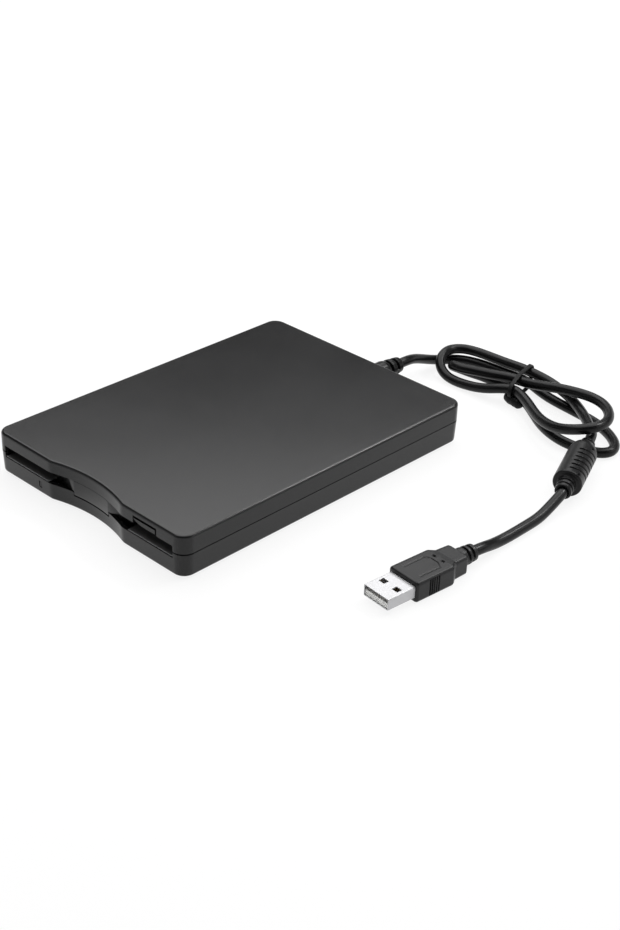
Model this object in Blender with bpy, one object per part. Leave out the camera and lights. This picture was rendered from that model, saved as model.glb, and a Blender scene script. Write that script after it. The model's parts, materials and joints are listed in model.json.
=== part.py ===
"""External drive for 3.5 inch disks, with its lead tied in a hank and a USB plug.

Metres, +Z up. The origin is the middle of the footprint, on the surface that the feet stand on.
The front, with the disk slot, faces -Y. The rest pose has no disk in: button flush, carrier up.
"""

import math

import bmesh
import bpy
import numpy as np
from mathutils import Vector
from mathutils.geometry import tessellate_polygon

# Fits shared by every pair of pieces
GAP = 0.0003
RUNNING_GAP = 0.0005
PIN_GAP = 0.00025
CUT_PAST = 0.001

# Flats round the turned pieces, and steps along the arcs
ROUND_SIDES = 20
PIN_SIDES = 12
SHAFT_SIDES = 10
HEAD_SIDES = 14
EYE_SIDES = 16
HUB_SIDES = 24
CHUCK_SIDES = 28
ROTOR_SIDES = 32
CORNER_STEPS = 4
FILLET_STEPS = 3
HOLLOW_STEPS = 12
CAPSULE_STEPS = 6

# Covers
BODY_WIDTH = 0.103
BODY_LENGTH = 0.144
BODY_HEIGHT = 0.0164
FOOT_STAND = 0.0008
CORNER_RADIUS = 0.005
TOP_ROUND = 0.0011
BOTTOM_ROUND = 0.001
BOTTOM_DRAFT = 0.0004
WALL = 0.0016
SKIRT = 0.00065
LIP_RISE = 0.0015
PARTING_RISE = 0.00905
RECESS_DEPTH = 0.0033
RECESS_HALF = 0.021
RECESS_FILLET = 0.008
SIDE = BODY_WIDTH / 2
FRONT_Y = -BODY_LENGTH / 2
BACK_Y = BODY_LENGTH / 2
RIB_HALF = 0.0005
RIB_X = 0.03
RIB_REACH = 0.05
EDGE_ROUND_SHARES = ((1.0, 0.0), (0.29, 0.29), (0.0, 1.0))

# Slot in the front, and the notch of the door's middle below it
SLOT_END = 0.0053
SLOT_HALF = SIDE - SLOT_END
SLOT_RIM = 0.0068
SLOT_ROOF = 0.0116
NOTCH_HALF = 0.00975
NOTCH_DROP = 0.0017

# Feet and case screws
FOOT_RADIUS = 0.004
FOOT_SINK = 0.0003
FOOT_FROM_SIDE = 0.0115
FOOT_FROM_END = 0.014
FOOT_X = SIDE - FOOT_FROM_SIDE
FOOT_Y = BACK_Y - FOOT_FROM_END
BOSS_RADIUS = 0.00135
PAD_RADIUS = 0.0023
PAD_RISE = 0.0031
HEAD_RADIUS = 0.0014
HEAD_THICK = 0.0008
HEAD_SINK = 0.0008
CROSS_SHARES = (0.6, 0.16)
SHAFT_RADIUS = 0.00065
SHAFT_LENGTH = 0.007
FRONT_SCREW_IN = 0.00405
REAR_SCREW_FROM_SIDE = 0.0075
REAR_SCREW_FROM_END = 0.008
FRONT_SCREW_X = SIDE - FRONT_SCREW_IN
FRONT_SCREW_Y = FRONT_Y + FRONT_SCREW_IN
REAR_SCREW_X = SIDE - REAR_SCREW_FROM_SIDE
REAR_SCREW_Y = BACK_Y - REAR_SCREW_FROM_END

# Eject button
BUTTON_FROM_SIDE = 0.0134
BUTTON_NOTCH = 0.0121
BUTTON_RIGHT = SIDE - BUTTON_FROM_SIDE
BUTTON_LEFT = BUTTON_RIGHT - BUTTON_NOTCH
BUTTON_TALL = 0.0023
BUTTON_FACE = 0.001
BUTTON_SINK = 0.0001
BUTTON_DEEP = 0.0052
BUTTON_BACK = FRONT_Y + BUTTON_DEEP
BUTTON_STEM_IN = 0.0022
BUTTON_STEM_TRIM = 0.0002

# Light window
LIGHT_FROM_SIDE = 0.0255
LIGHT_X = LIGHT_FROM_SIDE - SIDE
LIGHT_HALF = 0.0005
LIGHT_LOW = 0.0029
LIGHT_HIGH = 0.0049
LED_HALF = 0.0015
LED_DEEP = 0.0022
LED_TALL = 0.0034

# Dust door, its pin and its spring
DOOR_DEEP = 0.0046
DOOR_AXIS_Y = FRONT_Y + DOOR_DEEP
DOOR_AXIS_Z = 0.0131
DOOR_FACE = 0.0015
DOOR_PLATE = 0.00055
DOOR_TOP = 0.0012
DOOR_DROP = 0.0045
MIDDLE_TOP = 0.0010
MIDDLE_DROP = 0.0067
PIN_RADIUS = 0.0004
PIN_HALF = 0.0228
KNUCKLE_RADIUS = 0.00095
KNUCKLE_NEAR = 0.017
KNUCKLE_FAR = 0.0205
DOOR_SPRING_NEAR = 0.0134
DOOR_SPRING_FAR = 0.0166
DOOR_SPRING_WALL = 0.0002
POCKET_HALF = 0.0142
POCKET_REACH = 0.00085
POCKET_TOP = 0.00125

# Front bezel
BEZEL_DEEP = 0.0057
BEZEL_FRONT = FRONT_Y + BEZEL_DEEP
BEZEL_THICK = 0.0012
BEZEL_SIDE_GAP = 0.001
BEZEL_HALF = SIDE - WALL - BEZEL_SIDE_GAP
BEZEL_POST = 0.0032
DOOR_END_GAP = 0.0004
DOOR_HALF = BEZEL_HALF - BEZEL_POST - DOOR_END_GAP
BEZEL_LOW = 0.0044
BEZEL_BAR = 0.0014
BEZEL_BAR_TOP = 0.0153
BEZEL_TOP_BAR = 0.0009
LIP_THICK = 0.0004
LIP_LEFT_END = 0.021
LIP_RIGHT_START = 0.023
EAR_NEAR = 0.0213
EAR_THICK = 0.0012
EAR_RADIUS = 0.001
EAR_NECK_SHARES = (0.9, 0.5)
BAR_GAP_SIDE = 0.0015

# Chassis and lid of the drive
SHEET = 0.0006
CHASSIS_SIDE_GAP = 0.0009
CHASSIS_HALF = SIDE - WALL - CHASSIS_SIDE_GAP
CHASSIS_WALL = 0.0008
CABLE_ROOM = 0.016
CHASSIS_BACK = BACK_Y - CABLE_ROOM
CHASSIS_TOP = 0.0141
BACK_WALL_TOP = 0.0122
CABLE_DOOR_IN = 0.013
CABLE_DOOR_WIDE = 0.016
CABLE_DOOR_LOW = CABLE_DOOR_IN - CHASSIS_HALF
CABLE_DOOR_HIGH = CABLE_DOOR_LOW + CABLE_DOOR_WIDE
LID_DEEP = 0.014
LID_CORNER = 0.0008
LID_FRONT = FRONT_Y + LID_DEEP
WINDOW_HALF = 0.013
WINDOW_FRONT = -0.002
WINDOW_BACK = 0.053
DRIVE_SCREW_IN = 0.0048
DRIVE_SCREW_FROM_FRONT = 0.0105
DRIVE_SCREW_FROM_BACK = 0.0035
DRIVE_SCREW_X = CHASSIS_HALF - DRIVE_SCREW_IN
DRIVE_SCREW_FRONT = FRONT_Y + DRIVE_SCREW_FROM_FRONT
DRIVE_SCREW_REAR = CHASSIS_BACK - DRIVE_SCREW_FROM_BACK
DRIVE_SHAFT_LENGTH = 0.0019

# Eject plate
EJECT_TRAVEL = 0.004
CARRIER_DROP = 0.0023
PLATE_LOW = 0.0133
PLATE_FRONT = LID_FRONT
PLATE_BAR = 0.008
PLATE_BACK = 0.024
RAIL_THICK = 0.0008
PLATE_STRIP = 0.004
RAIL_BOTTOM = 0.006
TONGUE_IN = 0.0035
TONGUE_WIDE = 0.005
TONGUE_DEEP = 0.0019
TONGUE_LEFT = BUTTON_LEFT + TONGUE_IN
TONGUE_RIGHT = TONGUE_LEFT + TONGUE_WIDE
TONGUE_FRONT = FRONT_Y + TONGUE_DEEP
CAM_PIN_RADIUS = 0.0008
CAM_PIN_FRONT = -0.044
CAM_PIN_REAR = 0.014
CAM_PIN_Z = 0.0102

# Disk carrier and shutter lever
CARRIER_WALL = 0.0007
CARRIER_FRONT = -0.056
CARRIER_BACK = 0.0293
CARRIER_TOP = 0.013
CARRIER_SHEET = 0.0005
FLANGE_Z = 0.0077
FLANGE_REACH = 0.0047
STOP_WIDTH = 0.016
CARRIER_HOLE = 0.012
CARRIER_HOLE_Y = -0.012
CUTOUT_FRONT = 0.002
LEVER_PIVOT_IN = 0.011
LEVER_PIVOT_X = LEVER_PIVOT_IN - CHASSIS_HALF
LEVER_PIVOT_Y = 0.010
LEVER_REACH_X = 0.0235
LEVER_REACH_Y = -0.011
LEVER_HALF = 0.0016
LEVER_SHEET = 0.0003
LEVER_POST = 0.0012
LEVER_POST_SINK = 0.00005
LEVER_PIN = 0.0009
LEVER_PIN_DROP = 0.0022

# Eject spring
EJECT_SPRING_IN = 0.0055
EJECT_SPRING_X = CHASSIS_HALF - EJECT_SPRING_IN
EJECT_SPRING_RADIUS = 0.0011
EJECT_SPRING_BACK = 0.037

# Spindle, under the hub of a seated disk
SPINDLE_Y = -0.012
BOARD_THICK = 0.0006
MOTOR_BOARD_CORNER = 0.0016
MOTOR_BOARD_HALF = 0.019
MOTOR_BOARD_SHORT = 0.014
BEARING_RADIUS = 0.0032
SPINDLE_SHAFT = 0.00125
SHAFT_TOP = 0.0069
ROTOR_RADIUS = 0.011
ROTOR_SKIRT = 0.0007
ROTOR_SKIRT_TALL = 0.0009
ROTOR_DISC = 0.0005
STATOR_RADIUS = 0.0099
STATOR_TALL = 0.0006
STATOR_TEETH = 9
STATOR_TOOTH_SHARES = ((0.0, 1.0), (0.55, 1.0), (0.66, 0.62), (0.89, 0.62))
CHUCK_RADIUS = 0.0095
CHUCK_THICK = 0.0004
DRIVE_PIN_RADIUS = 0.0007
DRIVE_PIN_REACH = 0.0062
DRIVE_PIN_TALL = 0.0012

# Head carriage, its rod and screw
BASE_LOW = 0.0042
BASE_HIGH = 0.0055
BASE_LEFT = -0.0101
BASE_RIGHT = 0.009
BASE_FRONT = 0.022
BASE_BACK = 0.050
POST_FRONT = 0.0446
POST_LEFT = -0.007
POST_TOP = 0.0102
ARM_AXIS_Y = 0.0475
ARM_AXIS_Z = 0.0122
ARM_EAR = 0.0015
ARM_EAR_RADIUS = 0.0013
ARM_PIN_RADIUS = 0.0006
ARM_SPRING_LONG = 0.0023
ARM_SPRING_SHARE = 0.9
ROD_X = -0.012
ROD_Z = 0.00455
ROD_RADIUS = 0.0006
ROD_FRONT = 0.012
ROD_BACK = 0.054
SADDLE_LONG = 0.002
SHOE_HALF_WIDE = 0.0016
SHOE_HALF_TALL = 0.0011
SHOE_LONG = 0.005
SHOE_FRONT = 0.031
SCREW_X = 0.014
SCREW_Z = 0.0076
SCREW_RADIUS = 0.001
NUT_HALF = 0.002
NUT_LONG = 0.002
BRACKET_BACK = 0.0292
BRACKET_THICK = 0.0008
BRACKET_HALF = 0.0022
MOTOR_RADIUS = 0.0041
MOTOR_FRONT = 0.0475
MOTOR_LONG = 0.0074
MOTOR_BORE_DEEP = 0.0018

# Heads and the upper head's arm
HEAD_HALF = 0.0025
HEAD_FRONT = 0.0235
HEAD_BACK = 0.028
LOWER_HEAD_TOP = 0.0075
UPPER_HEAD_BOTTOM = 0.01195
ARM_FRONT = 0.0232
ARM_LOW = 0.0137
ARM_THICK = 0.0008

# Boards, switches and the ribbon between the boards
CONTROL_IN = 0.008
CONTROL_LEFT = CONTROL_IN - CHASSIS_HALF
CONTROL_RIGHT = -0.0185
CONTROL_FRONT = 0.031
CONTROL_BACK = 0.0542
BOARD_CORNER = 0.0008
SENSOR_LONG = 0.004
SENSOR_WIDE = 0.0045
SENSOR_TALL = 0.0032
SENSOR_BACK = 0.047
SENSOR_SLOT_SHARES = (0.65, 0.3)
SENSOR_FLOOR_SHARE = 0.4
SWITCH_IN = 0.009
SWITCH_LONG = 0.016
SWITCH_RIGHT = CHASSIS_HALF - SWITCH_IN
SWITCH_LEFT = SWITCH_RIGHT - SWITCH_LONG
SWITCH_FRONT = 0.016
SWITCH_BACK = 0.023
SWITCH_TOP = 0.0055
PLUNGER_RADIUS = 0.0009
PLUNGER_TOP = 0.0069
PLUNGER_FOOT = 0.0046
PLUNGER_PITCH = 0.005
USB_BOARD_IN = 0.017
USB_BOARD_DEEP = 0.011
USB_BOARD_FROM_BACK = 0.0035
USB_BOARD_HALF = CHASSIS_HALF - USB_BOARD_IN
USB_BOARD_BACK = BACK_Y - USB_BOARD_FROM_BACK
USB_BOARD_FRONT = USB_BOARD_BACK - USB_BOARD_DEEP
USB_BOARD_THICK = 0.0012
CHIP_HALF = 0.0035
CHIP_TALL = 0.0012
CHIP_X = 0.012
RIBBON_IN = 0.002
RIBBON_LEFT = CABLE_DOOR_LOW + RIBBON_IN
RIBBON_RIGHT = CABLE_DOOR_HIGH - RIBBON_IN
RIBBON_THICK = 0.0003
RIBBON_USB_REACH = 0.0055
RIBBON_BOARD_REACH = 0.0065
RIBBON_CREST = 0.0068
RIBBON_CREST_HALF = 0.0012
RIBBON_FALL = 0.0028

# Strain relief at the back
RELIEF_X = 0.004
RELIEF_Z = 0.0103
RELIEF_NECK = 0.0029
RELIEF_FLANGE = 0.0043
RELIEF_FLANGE_THICK = 0.0009
RELIEF_OUT = (  # distance behind the back face, radius
    (0.0003, 0.0044), (0.0066, 0.0044), (0.008, 0.0041), (0.008, 0.0032), (0.0092, 0.0032),
    (0.0092, 0.0039), (0.0125, 0.0037), (0.0125, 0.0028), (0.0137, 0.0028), (0.0137, 0.0033),
    (0.016, 0.0030),
)

# Cord: one lead, read from this route at even steps. It lies in a hank of three loops
CORD_RADIUS = 0.00205
CORD_ROUTE = (
    (0.0040, 0.0883, 0.0103), (0.0039, 0.0924, 0.0102), (0.0030, 0.0990, 0.0088),
    (0.0024, 0.1060, 0.0062), (0.0025, 0.1130, 0.0036), (0.0039, 0.1190, 0.0022),
    (0.0077, 0.1233, 0.0021), (0.0126, 0.1258, 0.0021), (0.0182, 0.1272, 0.0021),
    (0.0245, 0.1278, 0.0021), (0.0305, 0.1280, 0.0023), (0.0365, 0.1276, 0.0028),
    (0.0425, 0.1265, 0.0031), (0.0486, 0.1248, 0.0028), (0.0550, 0.1235, 0.0023),
    (0.0620, 0.1226, 0.0021), (0.0720, 0.1214, 0.0021), (0.0810, 0.1198, 0.0021),
    (0.0880, 0.1172, 0.0021), (0.0940, 0.1134, 0.0021), (0.0978, 0.1090, 0.0021),
    (0.0986, 0.1046, 0.0021), (0.0966, 0.1014, 0.0021), (0.0926, 0.0994, 0.0021),
    (0.0868, 0.0982, 0.0021), (0.0800, 0.0983, 0.0021), (0.0728, 0.1002, 0.0021),
    (0.0665, 0.1032, 0.0021), (0.0603, 0.1072, 0.0022), (0.0539, 0.1112, 0.0026),
    (0.0476, 0.1143, 0.0031), (0.0420, 0.1166, 0.0031), (0.0360, 0.1179, 0.0027),
    (0.0300, 0.1184, 0.0022), (0.0240, 0.1183, 0.0021), (0.0184, 0.1173, 0.0022),
    (0.0147, 0.1156, 0.0030), (0.0132, 0.1132, 0.0043), (0.0142, 0.1112, 0.0057),
    (0.0170, 0.1103, 0.0066), (0.0205, 0.1106, 0.0069), (0.0245, 0.1120, 0.0070),
    (0.0290, 0.1135, 0.0071), (0.0340, 0.1152, 0.0073), (0.0395, 0.1168, 0.0077),
    (0.0470, 0.1172, 0.0083), (0.0556, 0.1176, 0.0097), (0.0634, 0.1188, 0.0110),
    (0.0697, 0.1200, 0.0115), (0.0751, 0.1207, 0.0117), (0.0808, 0.1201, 0.0119),
    (0.0862, 0.1176, 0.0121), (0.0907, 0.1134, 0.0122), (0.0936, 0.1082, 0.0124),
    (0.0943, 0.1028, 0.0125), (0.0927, 0.0980, 0.0124), (0.0881, 0.0952, 0.0112),
    (0.0818, 0.0948, 0.0092), (0.0744, 0.0965, 0.0076), (0.0665, 0.1002, 0.0068),
    (0.0588, 0.1052, 0.0067), (0.0522, 0.1090, 0.0068), (0.0463, 0.1109, 0.0066),
    (0.0415, 0.1096, 0.0060), (0.0365, 0.1081, 0.0046), (0.0308, 0.1073, 0.0032),
    (0.0250, 0.1069, 0.0024), (0.0194, 0.1068, 0.0021), (0.0144, 0.1071, 0.0027),
    (0.0104, 0.1083, 0.0043), (0.0076, 0.1110, 0.0060), (0.0060, 0.1150, 0.0070),
    (0.0054, 0.1200, 0.0070), (0.0078, 0.1245, 0.0068), (0.0124, 0.1268, 0.0067),
    (0.0178, 0.1276, 0.0067), (0.0240, 0.1280, 0.0067), (0.0310, 0.1280, 0.0070),
    (0.0377, 0.1276, 0.0076), (0.0445, 0.1272, 0.0077), (0.0510, 0.1271, 0.0072),
    (0.0590, 0.1253, 0.0068), (0.0670, 0.1219, 0.0067), (0.0745, 0.1173, 0.0068),
    (0.0814, 0.1120, 0.0070), (0.0872, 0.1066, 0.0075), (0.0908, 0.1028, 0.0078),
    (0.0928, 0.0992, 0.0076), (0.0958, 0.0917, 0.0072), (0.1006, 0.0796, 0.0065),
    (0.1055, 0.0675, 0.0058), (0.1076, 0.0622, 0.0054), (0.1083, 0.0580, 0.0045),
    (0.1089, 0.0525, 0.0033), (0.1095, 0.0460, 0.0023), (0.1097, 0.0380, 0.0021),
    (0.1097, 0.0284, 0.0021), (0.1095, 0.0197, 0.0026), (0.1096, 0.0140, 0.0037),
    (0.1092, 0.0092, 0.0040),
)
LEAD_END_POINT = 3
RUN_START_POINT = 84
LEAD_SAMPLES = 6
HANK_SAMPLES = 78
RUN_SAMPLES = 22
FINE_STEPS = 8

# Tie round the hank
TIE_X = 0.044
TIE_MID_Y = 0.118
TIE_SKEW_SHARE = 0.25
TIE_HALF = 0.0012
TIE_CLEAR = 0.00035
TIE_THICK = 0.0006
TIE_ROUND = 26
KNOT_START = (0.0423, 0.1104, 0.0019)
KNOT_END = (0.0522, 0.1082, 0.0017)
KNOT_RADIUS = 0.0015
KNOT_SHARES = ((0.0, 0.35), (0.06, 0.8), (0.2, 1.0), (0.8, 1.0), (0.94, 0.8), (1.0, 0.35))

# Ferrite bead, along the run
BEAD_TOP = (0.0958, 0.0917, 0.0072)
BEAD_BOTTOM = (0.1055, 0.0675, 0.0058)
BEAD_RADIUS = 0.0056
BEAD_ROUND = 0.0009
BEAD_COLLAR_TOP = 0.0042
BEAD_COLLAR_BOTTOM = 0.0058
BEAD_COLLAR_RADIUS = 0.0032
BEAD_COLLAR_SHARES = (0.9, 1.1)
BEAD_CHAMFER_SHARE = 0.3
BEAD_WALL = 0.0011
CORE_INNER = 0.0027

# Plug, along its own axis from the mouth of its shell
PLUG_MOUTH = (0.1049, -0.0354)
PLUG_TURN = (0.096, 0.995)
PLUG_Z = 0.004
SHELL_HALF = 0.006
SHELL_HALF_TALL = 0.00225
SHELL_SHEET = 0.0004
SHELL_LONG = 0.012
SHELL_SUNK = 0.003
SHELL_WINDOW_START = 0.0053
SHELL_WINDOW_END = 0.0073
SHELL_WINDOW_HALF = 0.0012
SHELL_WINDOW_OFF = 0.0032
TONGUE_TOP = 0.0042
TONGUE_SET_BACK = 0.0005
CONTACT_HALF = 0.0005
CONTACT_RISE = 0.0002
CONTACT_PITCH = 0.0024
GRIP_STEPS = (  # distance, half width, half height of the grip's sections
    (0.0120, 0.0058, 0.0028), (0.0128, 0.0064, 0.0034), (0.0142, 0.0070, 0.0040),
    (0.0286, 0.0070, 0.0040), (0.0310, 0.0044, 0.0035), (0.0375, 0.0042, 0.0034),
)
GRIP_ROUND = 0.0012
GRIP_RELIEF = (  # distance, radius
    (0.0370, 0.0028), (0.0375, 0.00325), (0.0400, 0.0032), (0.0400, 0.0024), (0.0409, 0.0024),
    (0.0409, 0.0031), (0.0425, 0.0030), (0.0425, 0.0023), (0.0433, 0.0023), (0.0433, 0.0029),
    (0.0445, 0.0028),
)

# Heights that follow from the stack, from the surface up
BASE_Z = FOOT_STAND
TOP_Z = FOOT_STAND + BODY_HEIGHT
FLOOR_Z = BASE_Z + WALL - GAP / 2
CEILING_Z = TOP_Z - WALL
PARTING_Z = FOOT_STAND + PARTING_RISE
RIM_Z = FOOT_STAND + SLOT_RIM
ROOF_Z = FOOT_STAND + SLOT_ROOF
CHASSIS_LOW = FLOOR_Z + GAP
CHASSIS_FLOOR = CHASSIS_LOW + SHEET
LID_LOW = CHASSIS_TOP + GAP
CHASSIS_FRONT = BEZEL_FRONT + BEZEL_THICK + GAP
RAIL_OUTER = CHASSIS_HALF - CHASSIS_WALL - RUNNING_GAP
RAIL_INNER = RAIL_OUTER - RAIL_THICK
CARRIER_INNER = RAIL_INNER - RUNNING_GAP - CARRIER_WALL
MOTOR_BACK = MOTOR_FRONT + MOTOR_LONG
SCREW_PLACES = {
    "front_left": (-FRONT_SCREW_X, FRONT_SCREW_Y),
    "front_right": (FRONT_SCREW_X, FRONT_SCREW_Y),
    "rear_left": (-REAR_SCREW_X, REAR_SCREW_Y),
    "rear_right": (REAR_SCREW_X, REAR_SCREW_Y),
}
DRIVE_SCREW_PLACES = {
    "front_left": (-DRIVE_SCREW_X, DRIVE_SCREW_FRONT),
    "front_right": (DRIVE_SCREW_X, DRIVE_SCREW_FRONT),
    "rear_left": (-DRIVE_SCREW_X, DRIVE_SCREW_REAR),
    "rear_right": (DRIVE_SCREW_X, DRIVE_SCREW_REAR),
}

# colour, roughness, metallic
FINISHES = {
    "cover_plastic": ((0.045, 0.045, 0.047), 0.42, 0.0),
    "inner_plastic": ((0.012, 0.012, 0.013), 0.5, 0.0),
    "lens_plastic": ((0.05, 0.05, 0.055), 0.15, 0.0),
    "rubber": ((0.02, 0.02, 0.02), 0.85, 0.0),
    "screw_steel": ((0.35, 0.35, 0.36), 0.35, 1.0),
    "zinc_sheet": ((0.55, 0.56, 0.57), 0.4, 1.0),
    "bright_steel": ((0.72, 0.72, 0.73), 0.22, 1.0),
    "white_plastic": ((0.72, 0.72, 0.70), 0.45, 0.0),
    "board": ((0.02, 0.11, 0.05), 0.4, 0.0),
    "copper": ((0.62, 0.27, 0.13), 0.35, 1.0),
    "ceramic": ((0.06, 0.055, 0.05), 0.3, 0.0),
    "brass": ((0.66, 0.5, 0.22), 0.3, 1.0),
    "cord_plastic": ((0.011, 0.011, 0.012), 0.3, 0.0),
    "grip_plastic": ((0.03, 0.03, 0.032), 0.5, 0.0),
    "plated_shell": ((0.78, 0.78, 0.79), 0.2, 1.0),
}

AXES = {"X": (1, 2, 0), "Y": (0, 2, 1), "Z": (0, 1, 2)}
SHARP_TURN = 32
SHARP = math.radians(SHARP_TURN)


def clear_scene():
    for obj in list(bpy.data.objects):
        bpy.data.objects.remove(obj, do_unlink=True)


def make_materials():
    made = {}
    for name, (colour, roughness, metallic) in FINISHES.items():
        material = bpy.data.materials.new(name)
        material.use_nodes = True
        shader = material.node_tree.nodes["Principled BSDF"]
        shader.inputs["Base Color"].default_value = (*colour, 1.0)
        shader.inputs["Roughness"].default_value = roughness
        shader.inputs["Metallic"].default_value = metallic
        made[name] = material
    return made


def solid(points, faces):
    """A scratch object from points and faces, with its faces turned outwards."""
    mesh = bpy.data.meshes.new("shape")
    mesh.from_pydata([tuple(map(float, p)) for p in points], [], faces)
    shape = bmesh.new()
    shape.from_mesh(mesh)
    bmesh.ops.recalc_face_normals(shape, faces=shape.faces)
    shape.to_mesh(mesh)
    shape.free()
    obj = bpy.data.objects.new("shape", mesh)
    bpy.context.scene.collection.objects.link(obj)
    return obj


def prism(outline, low, high, axis="Z", holes=()):
    """An outline, with holes in it, drawn out along an axis. X takes (y, z), Y takes (x, z)."""
    loops = [list(outline), *map(list, holes)]
    flat = [point for loop in loops for point in loop]
    caps = tessellate_polygon([[Vector((*point, 0.0)) for point in loop] for loop in loops])
    count = len(flat)
    first, second, third = AXES[axis]
    points = np.zeros((2 * count, 3))
    points[:, first] = [point[0] for point in flat] * 2
    points[:, second] = [point[1] for point in flat] * 2
    points[:count, third] = low
    points[count:, third] = high
    faces = [tuple(cap) for cap in caps]
    faces += [tuple(i + count for i in reversed(cap)) for cap in caps]
    start = 0
    for loop in loops:
        size = len(loop)
        for i in range(size):
            a, b = start + i, start + (i + 1) % size
            faces.append((a, b, b + count, a + count))
        start += size
    return solid(points, faces)


def box(x, y, z):
    """A box from three pairs of limits."""
    return prism([(x[0], y[0]), (x[1], y[0]), (x[1], y[1]), (x[0], y[1])], z[0], z[1])


def circle(centre, radius, sides=ROUND_SIDES):
    turns = [math.tau * i / sides for i in range(sides)]
    return [(centre[0] + radius * math.cos(t), centre[1] + radius * math.sin(t)) for t in turns]


def rounded(u, v, radius, steps=CORNER_STEPS):
    """A rectangle from two pairs of limits, with round corners."""
    corners = (
        (u[1] - radius, v[1] - radius, 0), (u[0] + radius, v[1] - radius, 1),
        (u[0] + radius, v[0] + radius, 2), (u[1] - radius, v[0] + radius, 3),
    )
    points = []
    for cu, cv, quarter in corners:
        for i in range(steps + 1):
            t = (quarter + i / steps) * math.pi / 2
            points.append((cu + radius * math.cos(t), cv + radius * math.sin(t)))
    return points


def capsule(first, second, radius, steps=CAPSULE_STEPS):
    """The outline round two circles of one radius."""
    lean = math.atan2(second[1] - first[1], second[0] - first[0])
    points = []
    for (cu, cv), side in ((second, -0.5), (first, 0.5)):
        for i in range(steps + 1):
            t = lean + (side + i / steps) * math.pi
            points.append((cu + radius * math.cos(t), cv + radius * math.sin(t)))
    return points


def rod(centre, radius, low, high, axis="Z", sides=ROUND_SIDES):
    return prism(circle(centre, radius, sides), low, high, axis)


def skin(rings, closed=False):
    """Faces over a row of rings of equal size: capped at its ends, or closed on itself."""
    size = len(rings[0])
    points = [point for ring in rings for point in ring]
    faces = []
    last = len(rings) if closed else len(rings) - 1
    for r in range(last):
        a, b = r * size, (r + 1) % len(rings) * size
        for i in range(size):
            j = (i + 1) % size
            faces.append((a + i, a + j, b + j, b + i))
    if not closed:
        faces.append(tuple(range(size)))
        faces.append(tuple(range(len(points) - 1, len(points) - size - 1, -1)))
    return solid(points, faces)


def frame_of(direction):
    """Two directions square to a given one and to each other, the second near +Z."""
    along = Vector(direction).normalized()
    side = along.cross(Vector((0.0, 0.0, 1.0))).normalized()
    return along, side, side.cross(along)


def turned(profile, start, direction, sides=ROUND_SIDES, bored=False):
    """A profile of (distance, radius) turned about a line. A bored one is a closed loop clear of the line."""
    along, side, up = frame_of(direction)
    start = Vector(start)
    rings = []
    for distance, radius in profile:
        centre = start + along * distance
        rings.append([
            centre + (side * math.cos(t) + up * math.sin(t)) * radius
            for t in (math.tau * (i + 0.5) / sides for i in range(sides))
        ])
    return skin(rings, closed=bored)


def combine(shape, others, operation):
    for other in others:
        cut = shape.modifiers.new(operation.title(), "BOOLEAN")
        cut.operation = operation
        cut.solver = "EXACT"
        cut.object = other
        other.hide_render = True
        other.display_type = "WIRE"
    return others


def node(name, finish, shapes, cuts=(), origin=(0.0, 0.0, 0.0)):
    """Joins the shapes, takes away the cuts, and leaves one named object with its origin at a point."""
    base = shapes[0]
    spent = combine(base, shapes[1:], "UNION") + combine(base, list(cuts), "DIFFERENCE")
    bpy.context.view_layer.update()
    evaluated = base.evaluated_get(bpy.context.evaluated_depsgraph_get())
    mesh = bpy.data.meshes.new_from_object(evaluated)
    for scratch in [base, *spent]:
        bpy.data.objects.remove(scratch, do_unlink=True)
    mesh.name = name
    for vertex in mesh.vertices:
        vertex.co -= Vector(origin)
    mesh.materials.clear()
    mesh.materials.append(MATERIALS[finish])
    mesh.shade_smooth()
    mesh.set_sharp_from_angle(angle=SHARP)
    obj = bpy.data.objects.new(name, mesh)
    obj.location = origin
    bpy.context.scene.collection.objects.link(obj)
    return obj


# Covers


def recess_arc():
    """Radius and centre of the recess's hollow, which meets both fillets and the full depth."""
    inner = RECESS_FILLET - RECESS_DEPTH
    radius = (RECESS_HALF**2 + inner**2 - RECESS_FILLET**2) / (2 * RECESS_DEPTH)
    return radius, FRONT_Y + RECESS_DEPTH - radius


def arc(centre, radius, start, end, steps):
    turns = [start + (end - start) * i / steps for i in range(steps + 1)]
    return [(centre[0] + radius * math.cos(t), centre[1] + radius * math.sin(t)) for t in turns]


def body_outline(inset):
    """The covers' outline from above, moved inwards: four round corners and the finger recess."""
    hollow, hollow_y = recess_arc()
    half = math.asin(RECESS_HALF / (hollow + RECESS_FILLET))
    quarter = math.pi / 2
    corner = CORNER_RADIUS - inset
    side = BODY_WIDTH / 2 - CORNER_RADIUS
    end = BODY_LENGTH / 2 - CORNER_RADIUS
    fillet = RECESS_FILLET - inset
    fillet_y = FRONT_Y + RECESS_FILLET
    points = arc((-side, -end), corner, 2 * quarter, 3 * quarter, CORNER_STEPS)
    points += arc((-RECESS_HALF, fillet_y), fillet, -quarter, -quarter + half, FILLET_STEPS)
    points += arc((0.0, hollow_y), hollow + inset, quarter + half, quarter - half, HOLLOW_STEPS)[1:-1]
    points += arc((RECESS_HALF, fillet_y), fillet, -quarter - half, -quarter, FILLET_STEPS)
    points += arc((side, -end), corner, -quarter, 0.0, CORNER_STEPS)
    points += arc((side, end), corner, 0.0, quarter, CORNER_STEPS)
    points += arc((-side, end), corner, quarter, 2 * quarter, CORNER_STEPS)
    return points


def body_rings(levels):
    return skin([[(x, y, z) for x, y in body_outline(inset)] for inset, z in levels])


def slot_cut():
    """What the disk slot takes from the front wall of both covers."""
    return box((-SLOT_HALF, SLOT_HALF), (FRONT_Y - CUT_PAST, BEZEL_FRONT), (RIM_Z, ROOF_Z))


def relief_cut():
    return rod((RELIEF_X, RELIEF_Z), RELIEF_NECK + GAP, BACK_Y - BOSS_RADIUS - WALL,
               BACK_Y + CUT_PAST, "Y")


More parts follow.
